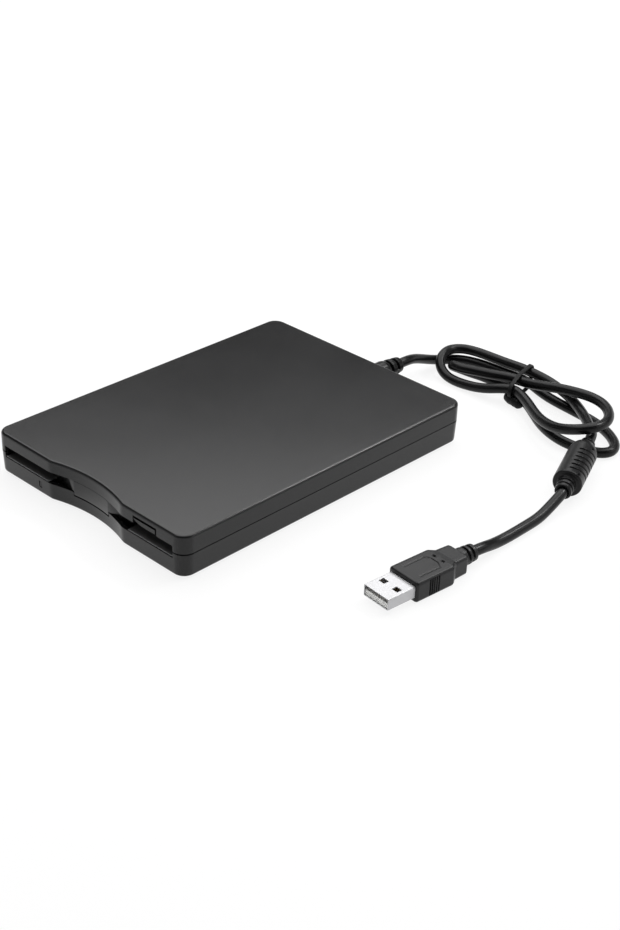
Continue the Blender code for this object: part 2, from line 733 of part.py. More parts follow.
def make_top_cover():
    lip_top = PARTING_Z + LIP_RISE
    levels = [
        (WALL, CEILING_Z), (WALL, lip_top), (SKIRT, lip_top), (SKIRT, PARTING_Z + GAP / 2),
        (0.0, PARTING_Z + GAP / 2),
    ]
    levels += [
        (TOP_ROUND * inward, TOP_Z - TOP_ROUND * down) for down, inward in EDGE_ROUND_SHARES
    ]
    shapes = [body_rings(levels)]
    boss_low = BASE_Z + PAD_RISE + GAP
    for x, y in SCREW_PLACES.values():
        shapes.append(rod((x, y), BOSS_RADIUS, boss_low, CEILING_Z + GAP, sides=HEAD_SIDES))
    for x in (-RIB_X, RIB_X):
        low = LID_LOW + SHEET + GAP
        shapes.append(box((x - RIB_HALF, x + RIB_HALF), (-RIB_REACH, RIB_REACH), (low, CEILING_Z + GAP)))
    pocket = box((-POCKET_HALF, POCKET_HALF), (DOOR_AXIS_Y - POCKET_REACH, BEZEL_FRONT),
                 (PARTING_Z, DOOR_AXIS_Z + POCKET_TOP))
    notch = box((BUTTON_LEFT, BUTTON_RIGHT), (FRONT_Y - CUT_PAST, BEZEL_FRONT),
                (PARTING_Z, ROOF_Z + BUTTON_TALL + 2 * GAP))
    cuts = [slot_cut(), pocket, notch, relief_cut()]
    for x, y in SCREW_PLACES.values():
        cuts.append(rod((x, y), SHAFT_RADIUS + PIN_GAP, boss_low - CUT_PAST,
                        BASE_Z + HEAD_SINK + SHAFT_LENGTH + WALL, sides=PIN_SIDES))
    return node("top_cover", "cover_plastic", shapes, cuts)


def make_bottom_cover():
    lip_top = PARTING_Z + LIP_RISE - GAP
    levels = [
        (WALL + BOTTOM_DRAFT, FLOOR_Z), (WALL, lip_top), (SKIRT + GAP, lip_top),
        (SKIRT + GAP, PARTING_Z - GAP / 2), (0.0, PARTING_Z - GAP / 2),
    ]
    levels += [
        (BOTTOM_DRAFT + BOTTOM_ROUND * inward, BASE_Z + BOTTOM_ROUND * down)
        for down, inward in EDGE_ROUND_SHARES
    ]
    shapes = [body_rings(levels)]
    for x, y in SCREW_PLACES.values():
        shapes.append(rod((x, y), PAD_RADIUS, FLOOR_Z - GAP, BASE_Z + PAD_RISE, sides=HEAD_SIDES))
    notch = box((-NOTCH_HALF, NOTCH_HALF), (FRONT_Y - CUT_PAST, BEZEL_FRONT),
                (RIM_Z - NOTCH_DROP, ROOF_Z))
    light = box((LIGHT_X - LIGHT_HALF - GAP, LIGHT_X + LIGHT_HALF + GAP),
                (FRONT_Y - CUT_PAST, BEZEL_FRONT),
                (BASE_Z + LIGHT_LOW - GAP, BASE_Z + LIGHT_HIGH + GAP))
    cuts = [slot_cut(), notch, light, relief_cut()]
    head_top = BASE_Z + HEAD_SINK + HEAD_THICK
    for x, y in SCREW_PLACES.values():
        cuts.append(rod((x, y), HEAD_RADIUS + GAP, BASE_Z - CUT_PAST, head_top + GAP, sides=HEAD_SIDES))
        cuts.append(rod((x, y), SHAFT_RADIUS + PIN_GAP, BASE_Z, PARTING_Z, sides=PIN_SIDES))
    for x, y in foot_places().values():
        cuts.append(rod((x, y), FOOT_RADIUS + GAP, BASE_Z - CUT_PAST, BASE_Z + FOOT_SINK + GAP))
    for x, y in DRIVE_SCREW_PLACES.values():
        cuts.append(rod((x, y), SHAFT_RADIUS + PIN_GAP, CHASSIS_FLOOR + GAP - DRIVE_SHAFT_LENGTH - GAP,
                        PARTING_Z, sides=PIN_SIDES))
    return node("bottom_cover", "cover_plastic", shapes, cuts)


def foot_places():
    return {
        f"{end}_{side}": (x, y)
        for end, y in (("front", -FOOT_Y), ("rear", FOOT_Y))
        for side, x in (("left", -FOOT_X), ("right", FOOT_X))
    }


def make_feet_and_screws():
    for place, (x, y) in foot_places().items():
        disc = rod((x, y), FOOT_RADIUS, 0.0, BASE_Z + FOOT_SINK)
        node(f"foot_{place}", "rubber", [disc])
    for place, (x, y) in SCREW_PLACES.items():
        low = BASE_Z + HEAD_SINK
        head = rod((x, y), HEAD_RADIUS, low, low + HEAD_THICK, sides=HEAD_SIDES)
        shaft = rod((x, y), SHAFT_RADIUS, low + HEAD_THICK / 2, low + SHAFT_LENGTH, sides=SHAFT_SIDES)
        arms = cross_cuts((x, y), low - CUT_PAST, low + HEAD_THICK / 2)
        node(f"case_screw_{place}", "screw_steel", [head, shaft], arms, (x, y, low))
    for place, (x, y) in DRIVE_SCREW_PLACES.items():
        low = CHASSIS_FLOOR + GAP
        head = rod((x, y), HEAD_RADIUS, low, low + HEAD_THICK, sides=HEAD_SIDES)
        shaft = rod((x, y), SHAFT_RADIUS, low - DRIVE_SHAFT_LENGTH, low + HEAD_THICK / 2, sides=SHAFT_SIDES)
        arms = cross_cuts((x, y), low + HEAD_THICK / 2, low + HEAD_THICK + CUT_PAST)
        node(f"drive_screw_{place}", "screw_steel", [head, shaft], arms, (x, y, low))


def cross_cuts(centre, low, high):
    """The two arms of a cross recess."""
    x, y = centre
    long, short = (HEAD_RADIUS * share for share in CROSS_SHARES)
    return [
        box((x - long, x + long), (y - short, y + short), (low, high)),
        box((x - short, x + short), (y - long, y + long), (low, high)),
    ]


# Front pieces


def make_bezel():
    back = BEZEL_FRONT + BEZEL_THICK
    deep = (BEZEL_FRONT, back)
    inner = BEZEL_HALF - BEZEL_POST
    bar_top = BEZEL_LOW + BEZEL_BAR
    lip_low = RIM_Z + GAP
    lip_top = lip_low + LIP_THICK
    top_low = BEZEL_BAR_TOP - BEZEL_TOP_BAR
    shapes = [box((-BEZEL_HALF, BEZEL_HALF), deep, (BEZEL_LOW, bar_top))]
    for side in (-1, 1):
        post = sorted((side * inner, side * BEZEL_HALF))
        shapes.append(box(post, deep, (BEZEL_LOW, BEZEL_BAR_TOP)))
    lips = ((-SLOT_HALF + GAP, -LIP_LEFT_END), (LIP_RIGHT_START, SLOT_HALF - GAP))
    for x in lips:
        shapes.append(box(x, deep, (BEZEL_LOW, lip_top)))
        shapes.append(box(x, (FRONT_Y + GAP, back), (lip_low, lip_top)))
    bars = (
        (-BEZEL_HALF, BUTTON_LEFT - BAR_GAP_SIDE),
        (BUTTON_RIGHT + BAR_GAP_SIDE, BEZEL_HALF),
    )
    for x in bars:
        shapes.append(box(x, deep, (top_low, BEZEL_BAR_TOP)))
    cuts = []
    for side in (-1, 1):
        x = sorted((side * EAR_NEAR, side * (EAR_NEAR + EAR_THICK)))
        eye = circle((DOOR_AXIS_Y, DOOR_AXIS_Z), EAR_RADIUS, EYE_SIDES)
        shapes.append(prism(eye, *x, axis="X"))
        neck = (DOOR_AXIS_Y - EAR_RADIUS * EAR_NECK_SHARES[0], back)
        neck_low = DOOR_AXIS_Z + EAR_RADIUS * EAR_NECK_SHARES[1]
        shapes.append(box(x, neck, (neck_low, BEZEL_BAR_TOP)))
        hole = circle((DOOR_AXIS_Y, DOOR_AXIS_Z), PIN_RADIUS + PIN_GAP, PIN_SIDES)
        cuts.append(prism(hole, x[0] - CUT_PAST, x[1] + CUT_PAST, axis="X"))
    return node("front_bezel", "inner_plastic", shapes, cuts)


def make_dust_door():
    """The flap: a thin plate with a thick flat middle, hung from two knuckles."""
    axis = (DOOR_AXIS_Y, DOOR_AXIS_Z)
    plate = box((-DOOR_HALF, DOOR_HALF), (DOOR_AXIS_Y - DOOR_PLATE, DOOR_AXIS_Y),
                (DOOR_AXIS_Z - DOOR_DROP, DOOR_AXIS_Z - DOOR_TOP))
    middle = box((-NOTCH_HALF + GAP, NOTCH_HALF - GAP), (DOOR_AXIS_Y - DOOR_FACE, DOOR_AXIS_Y),
                 (DOOR_AXIS_Z - MIDDLE_DROP, DOOR_AXIS_Z - MIDDLE_TOP))
    shapes = [plate, middle]
    cuts = []
    for side in (-1, 1):
        x = sorted((side * KNUCKLE_NEAR, side * KNUCKLE_FAR))
        shapes.append(prism(circle(axis, KNUCKLE_RADIUS, EYE_SIDES), *x, axis="X"))
        shapes.append(box(x, (DOOR_AXIS_Y - DOOR_PLATE, DOOR_AXIS_Y),
                          (DOOR_AXIS_Z - DOOR_TOP - DOOR_PLATE, DOOR_AXIS_Z - PIN_RADIUS - PIN_GAP)))
        hole = circle(axis, PIN_RADIUS + PIN_GAP, PIN_SIDES)
        cuts.append(prism(hole, x[0] - CUT_PAST, x[1] + CUT_PAST, axis="X"))
    return node("dust_door", "inner_plastic", shapes, cuts, (0.0, *axis))


def make_door_pin_and_spring():
    axis = (DOOR_AXIS_Y, DOOR_AXIS_Z)
    pin = prism(circle(axis, PIN_RADIUS, PIN_SIDES), -PIN_HALF, PIN_HALF, axis="X")
    node("door_pin", "bright_steel", [pin], origin=(0.0, *axis))
    outer = circle(axis, PIN_RADIUS + PIN_GAP + DOOR_SPRING_WALL, HEAD_SIDES)
    inner = circle(axis, PIN_RADIUS + PIN_GAP, HEAD_SIDES)
    coil = prism(outer, -DOOR_SPRING_FAR, -DOOR_SPRING_NEAR, "X", [inner])
    node("door_spring", "bright_steel", [coil], origin=(0.0, *axis))


def make_button():
    """The bar above the slot. A stem behind its face grips the eject plate's tongue."""
    low, high = ROOF_Z + GAP, ROOF_Z + GAP + BUTTON_TALL
    face = box((BUTTON_LEFT + GAP, BUTTON_RIGHT - GAP),
               (FRONT_Y + BUTTON_SINK, FRONT_Y + BUTTON_SINK + BUTTON_FACE), (low, high))
    left, right = BUTTON_LEFT + BUTTON_STEM_IN, BUTTON_RIGHT - BUTTON_STEM_IN
    stem = box((left, right), (FRONT_Y + BUTTON_SINK, BUTTON_BACK),
               (low + BUTTON_STEM_TRIM, high - BUTTON_STEM_TRIM))
    pocket = box((TONGUE_LEFT - GAP, TONGUE_RIGHT + GAP), (TONGUE_FRONT - GAP, BUTTON_BACK + CUT_PAST),
                 (PLATE_LOW - GAP, PLATE_LOW + SHEET + GAP))
    return node("eject_button", "cover_plastic", [face, stem], [pocket])


def make_light():
    wall_back = FRONT_Y + WALL + BOTTOM_DRAFT
    pipe = box((LIGHT_X - LIGHT_HALF, LIGHT_X + LIGHT_HALF), (FRONT_Y + BOTTOM_DRAFT, wall_back + GAP),
               (BASE_Z + LIGHT_LOW, BASE_Z + LIGHT_HIGH))
    node("light_pipe", "lens_plastic", [pipe])
    led_y = wall_back + 2 * GAP
    led = box((LIGHT_X - LED_HALF, LIGHT_X + LED_HALF), (led_y, led_y + LED_DEEP),
              (FLOOR_Z + GAP, FLOOR_Z + GAP + LED_TALL))
    node("activity_lamp", "lens_plastic", [led])


# Chassis, lid and the moving cage


def chassis_wall(side):
    """A side wall with an upright slot for each of the carrier's pins."""
    reach = CAM_PIN_RADIUS + GAP
    holes = [
        capsule((y, CAM_PIN_Z - CARRIER_DROP), (y, CAM_PIN_Z), reach)
        for y in (CAM_PIN_FRONT, CAM_PIN_REAR)
    ]
    outline = [
        (CHASSIS_FRONT, CHASSIS_LOW), (CHASSIS_BACK, CHASSIS_LOW),
        (CHASSIS_BACK, CHASSIS_TOP), (CHASSIS_FRONT, CHASSIS_TOP),
    ]
    x = sorted((side * (CHASSIS_HALF - CHASSIS_WALL), side * CHASSIS_HALF))
    return prism(outline, *x, axis="X", holes=holes)


def make_chassis():
    floor = prism(
        [(-CHASSIS_HALF, CHASSIS_FRONT), (CHASSIS_HALF, CHASSIS_FRONT),
         (CHASSIS_HALF, CHASSIS_BACK), (-CHASSIS_HALF, CHASSIS_BACK)],
        CHASSIS_LOW, CHASSIS_FLOOR,
        holes=[circle(place, SHAFT_RADIUS + PIN_GAP, PIN_SIDES) for place in DRIVE_SCREW_PLACES.values()],
    )
    inner = CHASSIS_BACK - CHASSIS_WALL
    back = box((-CHASSIS_HALF, CHASSIS_HALF), (inner, CHASSIS_BACK), (CHASSIS_LOW, BACK_WALL_TOP))
    saddle_top = ROD_Z + SHOE_HALF_TALL
    saddles = [
        box((ROD_X - SHOE_HALF_WIDE, ROD_X + SHOE_HALF_WIDE), y, (CHASSIS_LOW, saddle_top))
        for y in ((ROD_FRONT, ROD_FRONT + SADDLE_LONG), (ROD_BACK - SADDLE_LONG, ROD_BACK))
    ]
    bracket_front = BRACKET_BACK - BRACKET_THICK
    bracket = box((SCREW_X - BRACKET_HALF, SCREW_X + BRACKET_HALF), (bracket_front, BRACKET_BACK),
                  (CHASSIS_LOW, SCREW_Z + BRACKET_HALF))
    hook = box((EJECT_SPRING_X - RAIL_THICK, EJECT_SPRING_X + RAIL_THICK),
               (EJECT_SPRING_BACK + GAP, EJECT_SPRING_BACK + GAP + CHASSIS_WALL),
               (CHASSIS_LOW, PLATE_LOW))
    shapes = [floor, chassis_wall(-1), chassis_wall(1), back, *saddles, bracket, hook]
    door = box((CABLE_DOOR_LOW, CABLE_DOOR_HIGH), (inner - CUT_PAST, CHASSIS_BACK + CUT_PAST),
               (CHASSIS_FLOOR, BACK_WALL_TOP + CUT_PAST))
    rod_hole = rod((ROD_X, ROD_Z), ROD_RADIUS + PIN_GAP, ROD_FRONT - CUT_PAST, ROD_BACK + CUT_PAST,
                   "Y", PIN_SIDES)
    screw_hole = rod((SCREW_X, SCREW_Z), SCREW_RADIUS + GAP, bracket_front - CUT_PAST,
                     BRACKET_BACK + CUT_PAST, "Y", EYE_SIDES)
    return node("drive_chassis", "zinc_sheet", shapes, [door, rod_hole, screw_hole])


def make_lid():
    window = [
        (-WINDOW_HALF, WINDOW_FRONT), (WINDOW_HALF, WINDOW_FRONT),
        (WINDOW_HALF, WINDOW_BACK), (-WINDOW_HALF, WINDOW_BACK),
    ]
    plate = prism(
        rounded((-CHASSIS_HALF, CHASSIS_HALF), (LID_FRONT, CHASSIS_BACK), LID_CORNER, 2),
        LID_LOW, LID_LOW + SHEET, holes=[window],
    )
    return node("drive_lid", "zinc_sheet", [plate])


def eject_rail(side):
    """A side rail whose slanted slots lower the carrier's pins as the plate slides out."""
    reach = CAM_PIN_RADIUS + GAP
    holes = [
        capsule((y, CAM_PIN_Z), (y + EJECT_TRAVEL, CAM_PIN_Z - CARRIER_DROP), reach)
        for y in (CAM_PIN_FRONT, CAM_PIN_REAR)
    ]
    outline = [
        (PLATE_FRONT, RAIL_BOTTOM), (PLATE_BACK, RAIL_BOTTOM),
        (PLATE_BACK, PLATE_LOW + SHEET / 2), (PLATE_FRONT, PLATE_LOW + SHEET / 2),
    ]
    x = sorted((side * RAIL_INNER, side * RAIL_OUTER))
    return prism(outline, *x, axis="X", holes=holes)


def make_eject_plate():
    inner = RAIL_OUTER - PLATE_STRIP
    bar = PLATE_FRONT + PLATE_BAR
    outline = [
        (-RAIL_OUTER, PLATE_FRONT), (RAIL_OUTER, PLATE_FRONT), (RAIL_OUTER, PLATE_BACK),
        (inner, PLATE_BACK), (inner, bar), (-inner, bar), (-inner, PLATE_BACK),
        (-RAIL_OUTER, PLATE_BACK),
    ]
    tongue = box((TONGUE_LEFT, TONGUE_RIGHT), (TONGUE_FRONT, PLATE_FRONT + GAP),
                 (PLATE_LOW, PLATE_LOW + SHEET))
    plate = prism(outline, PLATE_LOW, PLATE_LOW + SHEET)
    shapes = [plate, tongue, eject_rail(-1), eject_rail(1)]
    return node("eject_plate", "zinc_sheet", shapes)


def make_carrier():
    """The cage that a disk slides into: top plate, sides, flanges below, stops behind, four pins."""
    outer = CARRIER_INNER + CARRIER_WALL
    top_low = CARRIER_TOP - CARRIER_SHEET
    outline = [
        (-outer, CARRIER_FRONT), (outer, CARRIER_FRONT), (outer, CARRIER_BACK),
        (WINDOW_HALF, CARRIER_BACK), (WINDOW_HALF, CUTOUT_FRONT), (-WINDOW_HALF, CUTOUT_FRONT),
        (-WINDOW_HALF, CARRIER_BACK), (-outer, CARRIER_BACK),
    ]
    hub = circle((0.0, CARRIER_HOLE_Y), CARRIER_HOLE, HUB_SIDES)
    pivot = circle((LEVER_PIVOT_X, LEVER_PIVOT_Y), LEVER_POST + GAP, PIN_SIDES)
    shapes = [prism(outline, top_low, CARRIER_TOP, holes=[hub, pivot])]
    for side in (-1, 1):
        wall = sorted((side * CARRIER_INNER, side * outer))
        shapes.append(box(wall, (CARRIER_FRONT, CARRIER_BACK), (FLANGE_Z, CARRIER_TOP)))
        flange = sorted((side * (CARRIER_INNER - FLANGE_REACH), side * outer))
        shapes.append(box(flange, (CARRIER_FRONT, CARRIER_BACK), (FLANGE_Z, FLANGE_Z + CARRIER_SHEET)))
        stop = sorted((side * (outer - STOP_WIDTH), side * outer))
        shapes.append(box(stop, (CARRIER_BACK - CARRIER_WALL, CARRIER_BACK), (FLANGE_Z, CARRIER_TOP)))
        pin = sorted((side * CARRIER_INNER, side * (CHASSIS_HALF - GAP / 2)))
        for y in (CAM_PIN_FRONT, CAM_PIN_REAR):
            shapes.append(rod((y, CAM_PIN_Z), CAM_PIN_RADIUS, *pin, axis="X", sides=PIN_SIDES))
    return node("disk_carrier", "zinc_sheet", shapes)


def make_shutter_lever():
    high = CARRIER_TOP - CARRIER_SHEET - PIN_GAP
    low = high - LEVER_SHEET
    pivot = (LEVER_PIVOT_X, LEVER_PIVOT_Y)
    tip = (LEVER_PIVOT_X + LEVER_REACH_X, LEVER_PIVOT_Y + LEVER_REACH_Y)
    arm = prism(capsule(pivot, tip, LEVER_HALF), low, high)
    post = rod(pivot, LEVER_POST, low, CARRIER_TOP - LEVER_POST_SINK, sides=PIN_SIDES)
    pin = rod(tip, LEVER_PIN, low - LEVER_PIN_DROP, high, sides=PIN_SIDES)
    return node("shutter_lever", "zinc_sheet", [arm, post, pin], origin=(*pivot, low))


def make_eject_spring():
    centre = (EJECT_SPRING_X, PLATE_LOW - EJECT_SPRING_RADIUS - GAP)
    spring = rod(centre, EJECT_SPRING_RADIUS, CARRIER_BACK + 2 * GAP, EJECT_SPRING_BACK, "Y", PIN_SIDES)
    node("eject_spring", "bright_steel", [spring])


# Spindle


def make_spindle():
    centre = (0.0, SPINDLE_Y)
    board_low = CHASSIS_FLOOR + GAP
    board_top = board_low + BOARD_THICK
    board = prism(
        rounded((-MOTOR_BOARD_HALF, MOTOR_BOARD_HALF),
                (SPINDLE_Y - MOTOR_BOARD_SHORT, SPINDLE_Y + ROTOR_RADIUS), MOTOR_BOARD_CORNER),
        board_low, board_top, holes=[circle(centre, BEARING_RADIUS + GAP)],
    )
    node("motor_board", "board", [board])
    stator_low = board_top + GAP
    rotor_low = stator_low + STATOR_TALL + GAP
    bore = circle(centre, SPINDLE_SHAFT + GAP, EYE_SIDES)
    bearing = prism(circle(centre, BEARING_RADIUS), board_low, stator_low + STATOR_TALL, holes=[bore])
    node("spindle_bearing", "brass", [bearing])
    teeth = []
    for tooth in range(STATOR_TEETH):
        for turn, reach in STATOR_TOOTH_SHARES:
            angle = math.tau * (tooth + turn) / STATOR_TEETH
            radius = STATOR_RADIUS * reach
            teeth.append((radius * math.cos(angle), SPINDLE_Y + radius * math.sin(angle)))
    stator = prism(teeth, stator_low, stator_low + STATOR_TALL,
                   holes=[circle(centre, BEARING_RADIUS + GAP)])
    node("stator", "copper", [stator])
    rotor_top = rotor_low + ROTOR_DISC
    disc = rod(centre, ROTOR_RADIUS, rotor_low, rotor_top, sides=ROTOR_SIDES)
    rim = circle(centre, ROTOR_RADIUS, ROTOR_SIDES)
    skirt = prism(rim, rotor_low - ROTOR_SKIRT_TALL, rotor_low + ROTOR_DISC / 2,
                  holes=[circle(centre, ROTOR_RADIUS - ROTOR_SKIRT, ROTOR_SIDES)])
    shaft = rod(centre, SPINDLE_SHAFT, board_low, SHAFT_TOP, sides=EYE_SIDES)
    node("spindle_rotor", "bright_steel", [disc, skirt, shaft], origin=(*centre, rotor_low))
    chuck_low = rotor_top + GAP
    pin_at = (0.0, SPINDLE_Y + DRIVE_PIN_REACH)
    chuck = prism(circle(centre, CHUCK_RADIUS, CHUCK_SIDES), chuck_low, chuck_low + CHUCK_THICK,
                  holes=[bore, circle(pin_at, DRIVE_PIN_RADIUS + GAP, PIN_SIDES)])
    node("chuck_plate", "bright_steel", [chuck], origin=(*centre, chuck_low))
    pin = rod(pin_at, DRIVE_PIN_RADIUS, chuck_low, chuck_low + DRIVE_PIN_TALL, sides=PIN_SIDES)
    node("drive_pin", "bright_steel", [pin], origin=(*centre, chuck_low))


# Head carriage and what drives it


def make_carriage():
    base = box((BASE_LEFT, BASE_RIGHT), (BASE_FRONT, BASE_BACK), (BASE_LOW, BASE_HIGH))
    post = box((POST_LEFT, BASE_RIGHT), (POST_FRONT, BASE_BACK), (BASE_LOW, POST_TOP))
    shapes = [base, post]
    ears = ((POST_LEFT, POST_LEFT + ARM_EAR), (-POST_LEFT - ARM_EAR, -POST_LEFT))
    axis = (ARM_AXIS_Y, ARM_AXIS_Z)
    for x in ears:
        shapes.append(box(x, (ARM_AXIS_Y - ARM_EAR_RADIUS, ARM_AXIS_Y + ARM_EAR_RADIUS),
                          (POST_TOP - GAP, ARM_AXIS_Z)))
        shapes.append(prism(circle(axis, ARM_EAR_RADIUS, EYE_SIDES), *x, axis="X"))
    shapes.append(rod(axis, ARM_PIN_RADIUS, POST_LEFT + GAP, -POST_LEFT - GAP, "X", PIN_SIDES))
    shoes = ((SHOE_FRONT, SHOE_FRONT + SHOE_LONG), (POST_FRONT, POST_FRONT + SHOE_LONG))
    for y in shoes:
        shapes.append(box((ROD_X - SHOE_HALF_WIDE, BASE_LEFT + GAP), y,
                          (ROD_Z - SHOE_HALF_TALL, ROD_Z + SHOE_HALF_TALL)))
    nut = box((BASE_RIGHT - GAP, SCREW_X + NUT_HALF), (POST_FRONT, POST_FRONT + NUT_LONG),
              (SCREW_Z - NUT_HALF, SCREW_Z + NUT_HALF))
    shapes.append(nut)
    cuts = [
        rod((ROD_X, ROD_Z), ROD_RADIUS + PIN_GAP, SHOE_FRONT - CUT_PAST,
            POST_FRONT + SHOE_LONG + CUT_PAST, "Y", PIN_SIDES),
        rod((SCREW_X, SCREW_Z), SCREW_RADIUS + GAP, POST_FRONT - CUT_PAST,
            POST_FRONT + NUT_LONG + CUT_PAST, "Y", EYE_SIDES),
    ]
    return node("head_carriage", "inner_plastic", shapes, cuts)


def make_heads_and_arm():
    wide = (-HEAD_HALF, HEAD_HALF)
    deep = (HEAD_FRONT, HEAD_BACK)
    node("lower_head", "ceramic", [box(wide, deep, (BASE_HIGH + GAP, LOWER_HEAD_TOP))])
    axis = (ARM_AXIS_Y, ARM_AXIS_Z)
    upper = box(wide, deep, (UPPER_HEAD_BOTTOM, ARM_LOW - GAP))
    node("upper_head", "ceramic", [upper], origin=(0.0, *axis))
    barrel_low = POST_LEFT + ARM_EAR + GAP + ARM_SPRING_LONG + GAP
    barrel_high = -POST_LEFT - ARM_EAR - GAP
    barrel = prism(circle(axis, ARM_EAR_RADIUS, EYE_SIDES), barrel_low, barrel_high, "X")
    web = box((barrel_low, barrel_high), (ARM_AXIS_Y - ARM_EAR_RADIUS, ARM_AXIS_Y),
              (ARM_AXIS_Z, ARM_LOW + ARM_THICK))
    plate = box((barrel_low, barrel_high), (ARM_FRONT, ARM_AXIS_Y), (ARM_LOW, ARM_LOW + ARM_THICK))
    hole = rod(axis, ARM_PIN_RADIUS + PIN_GAP, barrel_low - CUT_PAST, barrel_high + CUT_PAST, "X", PIN_SIDES)
    node("upper_head_arm", "inner_plastic", [barrel, web, plate], [hole], (0.0, *axis))
    spring_low = POST_LEFT + ARM_EAR + GAP
    outer = circle(axis, ARM_EAR_RADIUS * ARM_SPRING_SHARE, HEAD_SIDES)
    spring = prism(outer, spring_low, spring_low + ARM_SPRING_LONG,
                   "X", [circle(axis, ARM_PIN_RADIUS + PIN_GAP, HEAD_SIDES)])
    node("arm_spring", "bright_steel", [spring], origin=(0.0, *axis))


def make_carriage_drive():
    guide = rod((ROD_X, ROD_Z), ROD_RADIUS, ROD_FRONT, ROD_BACK, "Y", PIN_SIDES)
    node("guide_rod", "bright_steel", [guide])
    centre = (SCREW_X, SCREW_Z)
    screw = rod(centre, SCREW_RADIUS, BRACKET_BACK - BRACKET_THICK, MOTOR_FRONT + MOTOR_BORE_DEEP - GAP,
                "Y", EYE_SIDES)
    node("lead_screw", "bright_steel", [screw], origin=(SCREW_X, MOTOR_FRONT, SCREW_Z))
    can = rod(centre, MOTOR_RADIUS, MOTOR_FRONT, MOTOR_BACK, "Y", HUB_SIDES)
    bore = rod(centre, SCREW_RADIUS + GAP, MOTOR_FRONT - CUT_PAST, MOTOR_FRONT + MOTOR_BORE_DEEP,
               "Y", EYE_SIDES)
    node("stepper_motor", "zinc_sheet", [can], [bore])


# Boards


def make_boards():
    low = CHASSIS_FLOOR + GAP
    top = low + BOARD_THICK
    board = prism(rounded((CONTROL_LEFT, CONTROL_RIGHT), (CONTROL_FRONT, CONTROL_BACK), BOARD_CORNER),
                  low, top)
    node("control_board", "board", [board])
    sensor = box((CONTROL_RIGHT - SENSOR_WIDE, CONTROL_RIGHT), (SENSOR_BACK - SENSOR_LONG, SENSOR_BACK),
                 (top + GAP, top + GAP + SENSOR_TALL))
    sides = [CONTROL_RIGHT - SENSOR_WIDE * share for share in SENSOR_SLOT_SHARES]
    slot = box(sides,
               (SENSOR_BACK - SENSOR_LONG - CUT_PAST, SENSOR_BACK + CUT_PAST),
               (top + GAP + SENSOR_TALL * SENSOR_FLOOR_SHARE, top + GAP + SENSOR_TALL + CUT_PAST))
    node("track_zero_sensor", "inner_plastic", [sensor], [slot])
    block = box((SWITCH_LEFT, SWITCH_RIGHT), (SWITCH_FRONT, SWITCH_BACK), (low, SWITCH_TOP))
    middle = ((SWITCH_LEFT + SWITCH_RIGHT) / 2, (SWITCH_FRONT + SWITCH_BACK) / 2)
    holes = []
    for count, name in enumerate(("write_protect", "disk_in", "density")):
        place = (middle[0] + (count - 1) * PLUNGER_PITCH, middle[1])
        holes.append(rod(place, PLUNGER_RADIUS + PIN_GAP, low + GAP / 2, SWITCH_TOP + CUT_PAST,
                         sides=PIN_SIDES))
        plunger = rod(place, PLUNGER_RADIUS, PLUNGER_FOOT + GAP, PLUNGER_TOP, sides=PIN_SIDES)
        node(f"switch_{name}", "white_plastic", [plunger], origin=(*place, PLUNGER_FOOT))
    node("switch_block", "inner_plastic", [block], holes)


def make_usb_board():
    low = FLOOR_Z + GAP
    top = low + USB_BOARD_THICK
    board = prism(rounded((-USB_BOARD_HALF, USB_BOARD_HALF), (USB_BOARD_FRONT, USB_BOARD_BACK),
                          BOARD_CORNER), low, top)
    node("usb_board", "board", [board])
    middle = (USB_BOARD_FRONT + USB_BOARD_BACK) / 2
    chip = box((CHIP_X - CHIP_HALF, CHIP_X + CHIP_HALF), (middle - CHIP_HALF, middle + CHIP_HALF),
               (top + GAP, top + GAP + CHIP_TALL))
    node("bridge_chip", "ceramic", [chip])
    start, end = top + GAP, CHASSIS_FLOOR + GAP + BOARD_THICK + GAP
    crest = (CHASSIS_BACK - CHASSIS_WALL / 2, RIBBON_CREST)
    path = [
        (CHASSIS_BACK + RIBBON_USB_REACH, start), (crest[0] + RIBBON_FALL, start),
        (crest[0] + RIBBON_CREST_HALF, crest[1]), (crest[0] - RIBBON_CREST_HALF, crest[1]),
        (crest[0] - RIBBON_FALL, end), (CHASSIS_BACK - RIBBON_BOARD_REACH, end),
    ]
    upper = [(y, z + RIBBON_THICK) for y, z in reversed(path)]
    ribbon = prism(path + upper, RIBBON_LEFT, RIBBON_RIGHT, "X")
    node("flat_cable", "white_plastic", [ribbon])


# Strain relief, cord, tie, bead and plug


def make_strain_relief():
    flange_back = BACK_Y - WALL - GAP
    profile = [
        (flange_back - RELIEF_FLANGE_THICK - BACK_Y, RELIEF_FLANGE), (flange_back - BACK_Y, RELIEF_FLANGE),
        (flange_back - BACK_Y, RELIEF_NECK), (RELIEF_OUT[0][0], RELIEF_NECK), *RELIEF_OUT,
    ]
    body = turned(profile, (RELIEF_X, BACK_Y, RELIEF_Z), (0, 1, 0))
    return node("strain_relief", "cord_plastic", [body])


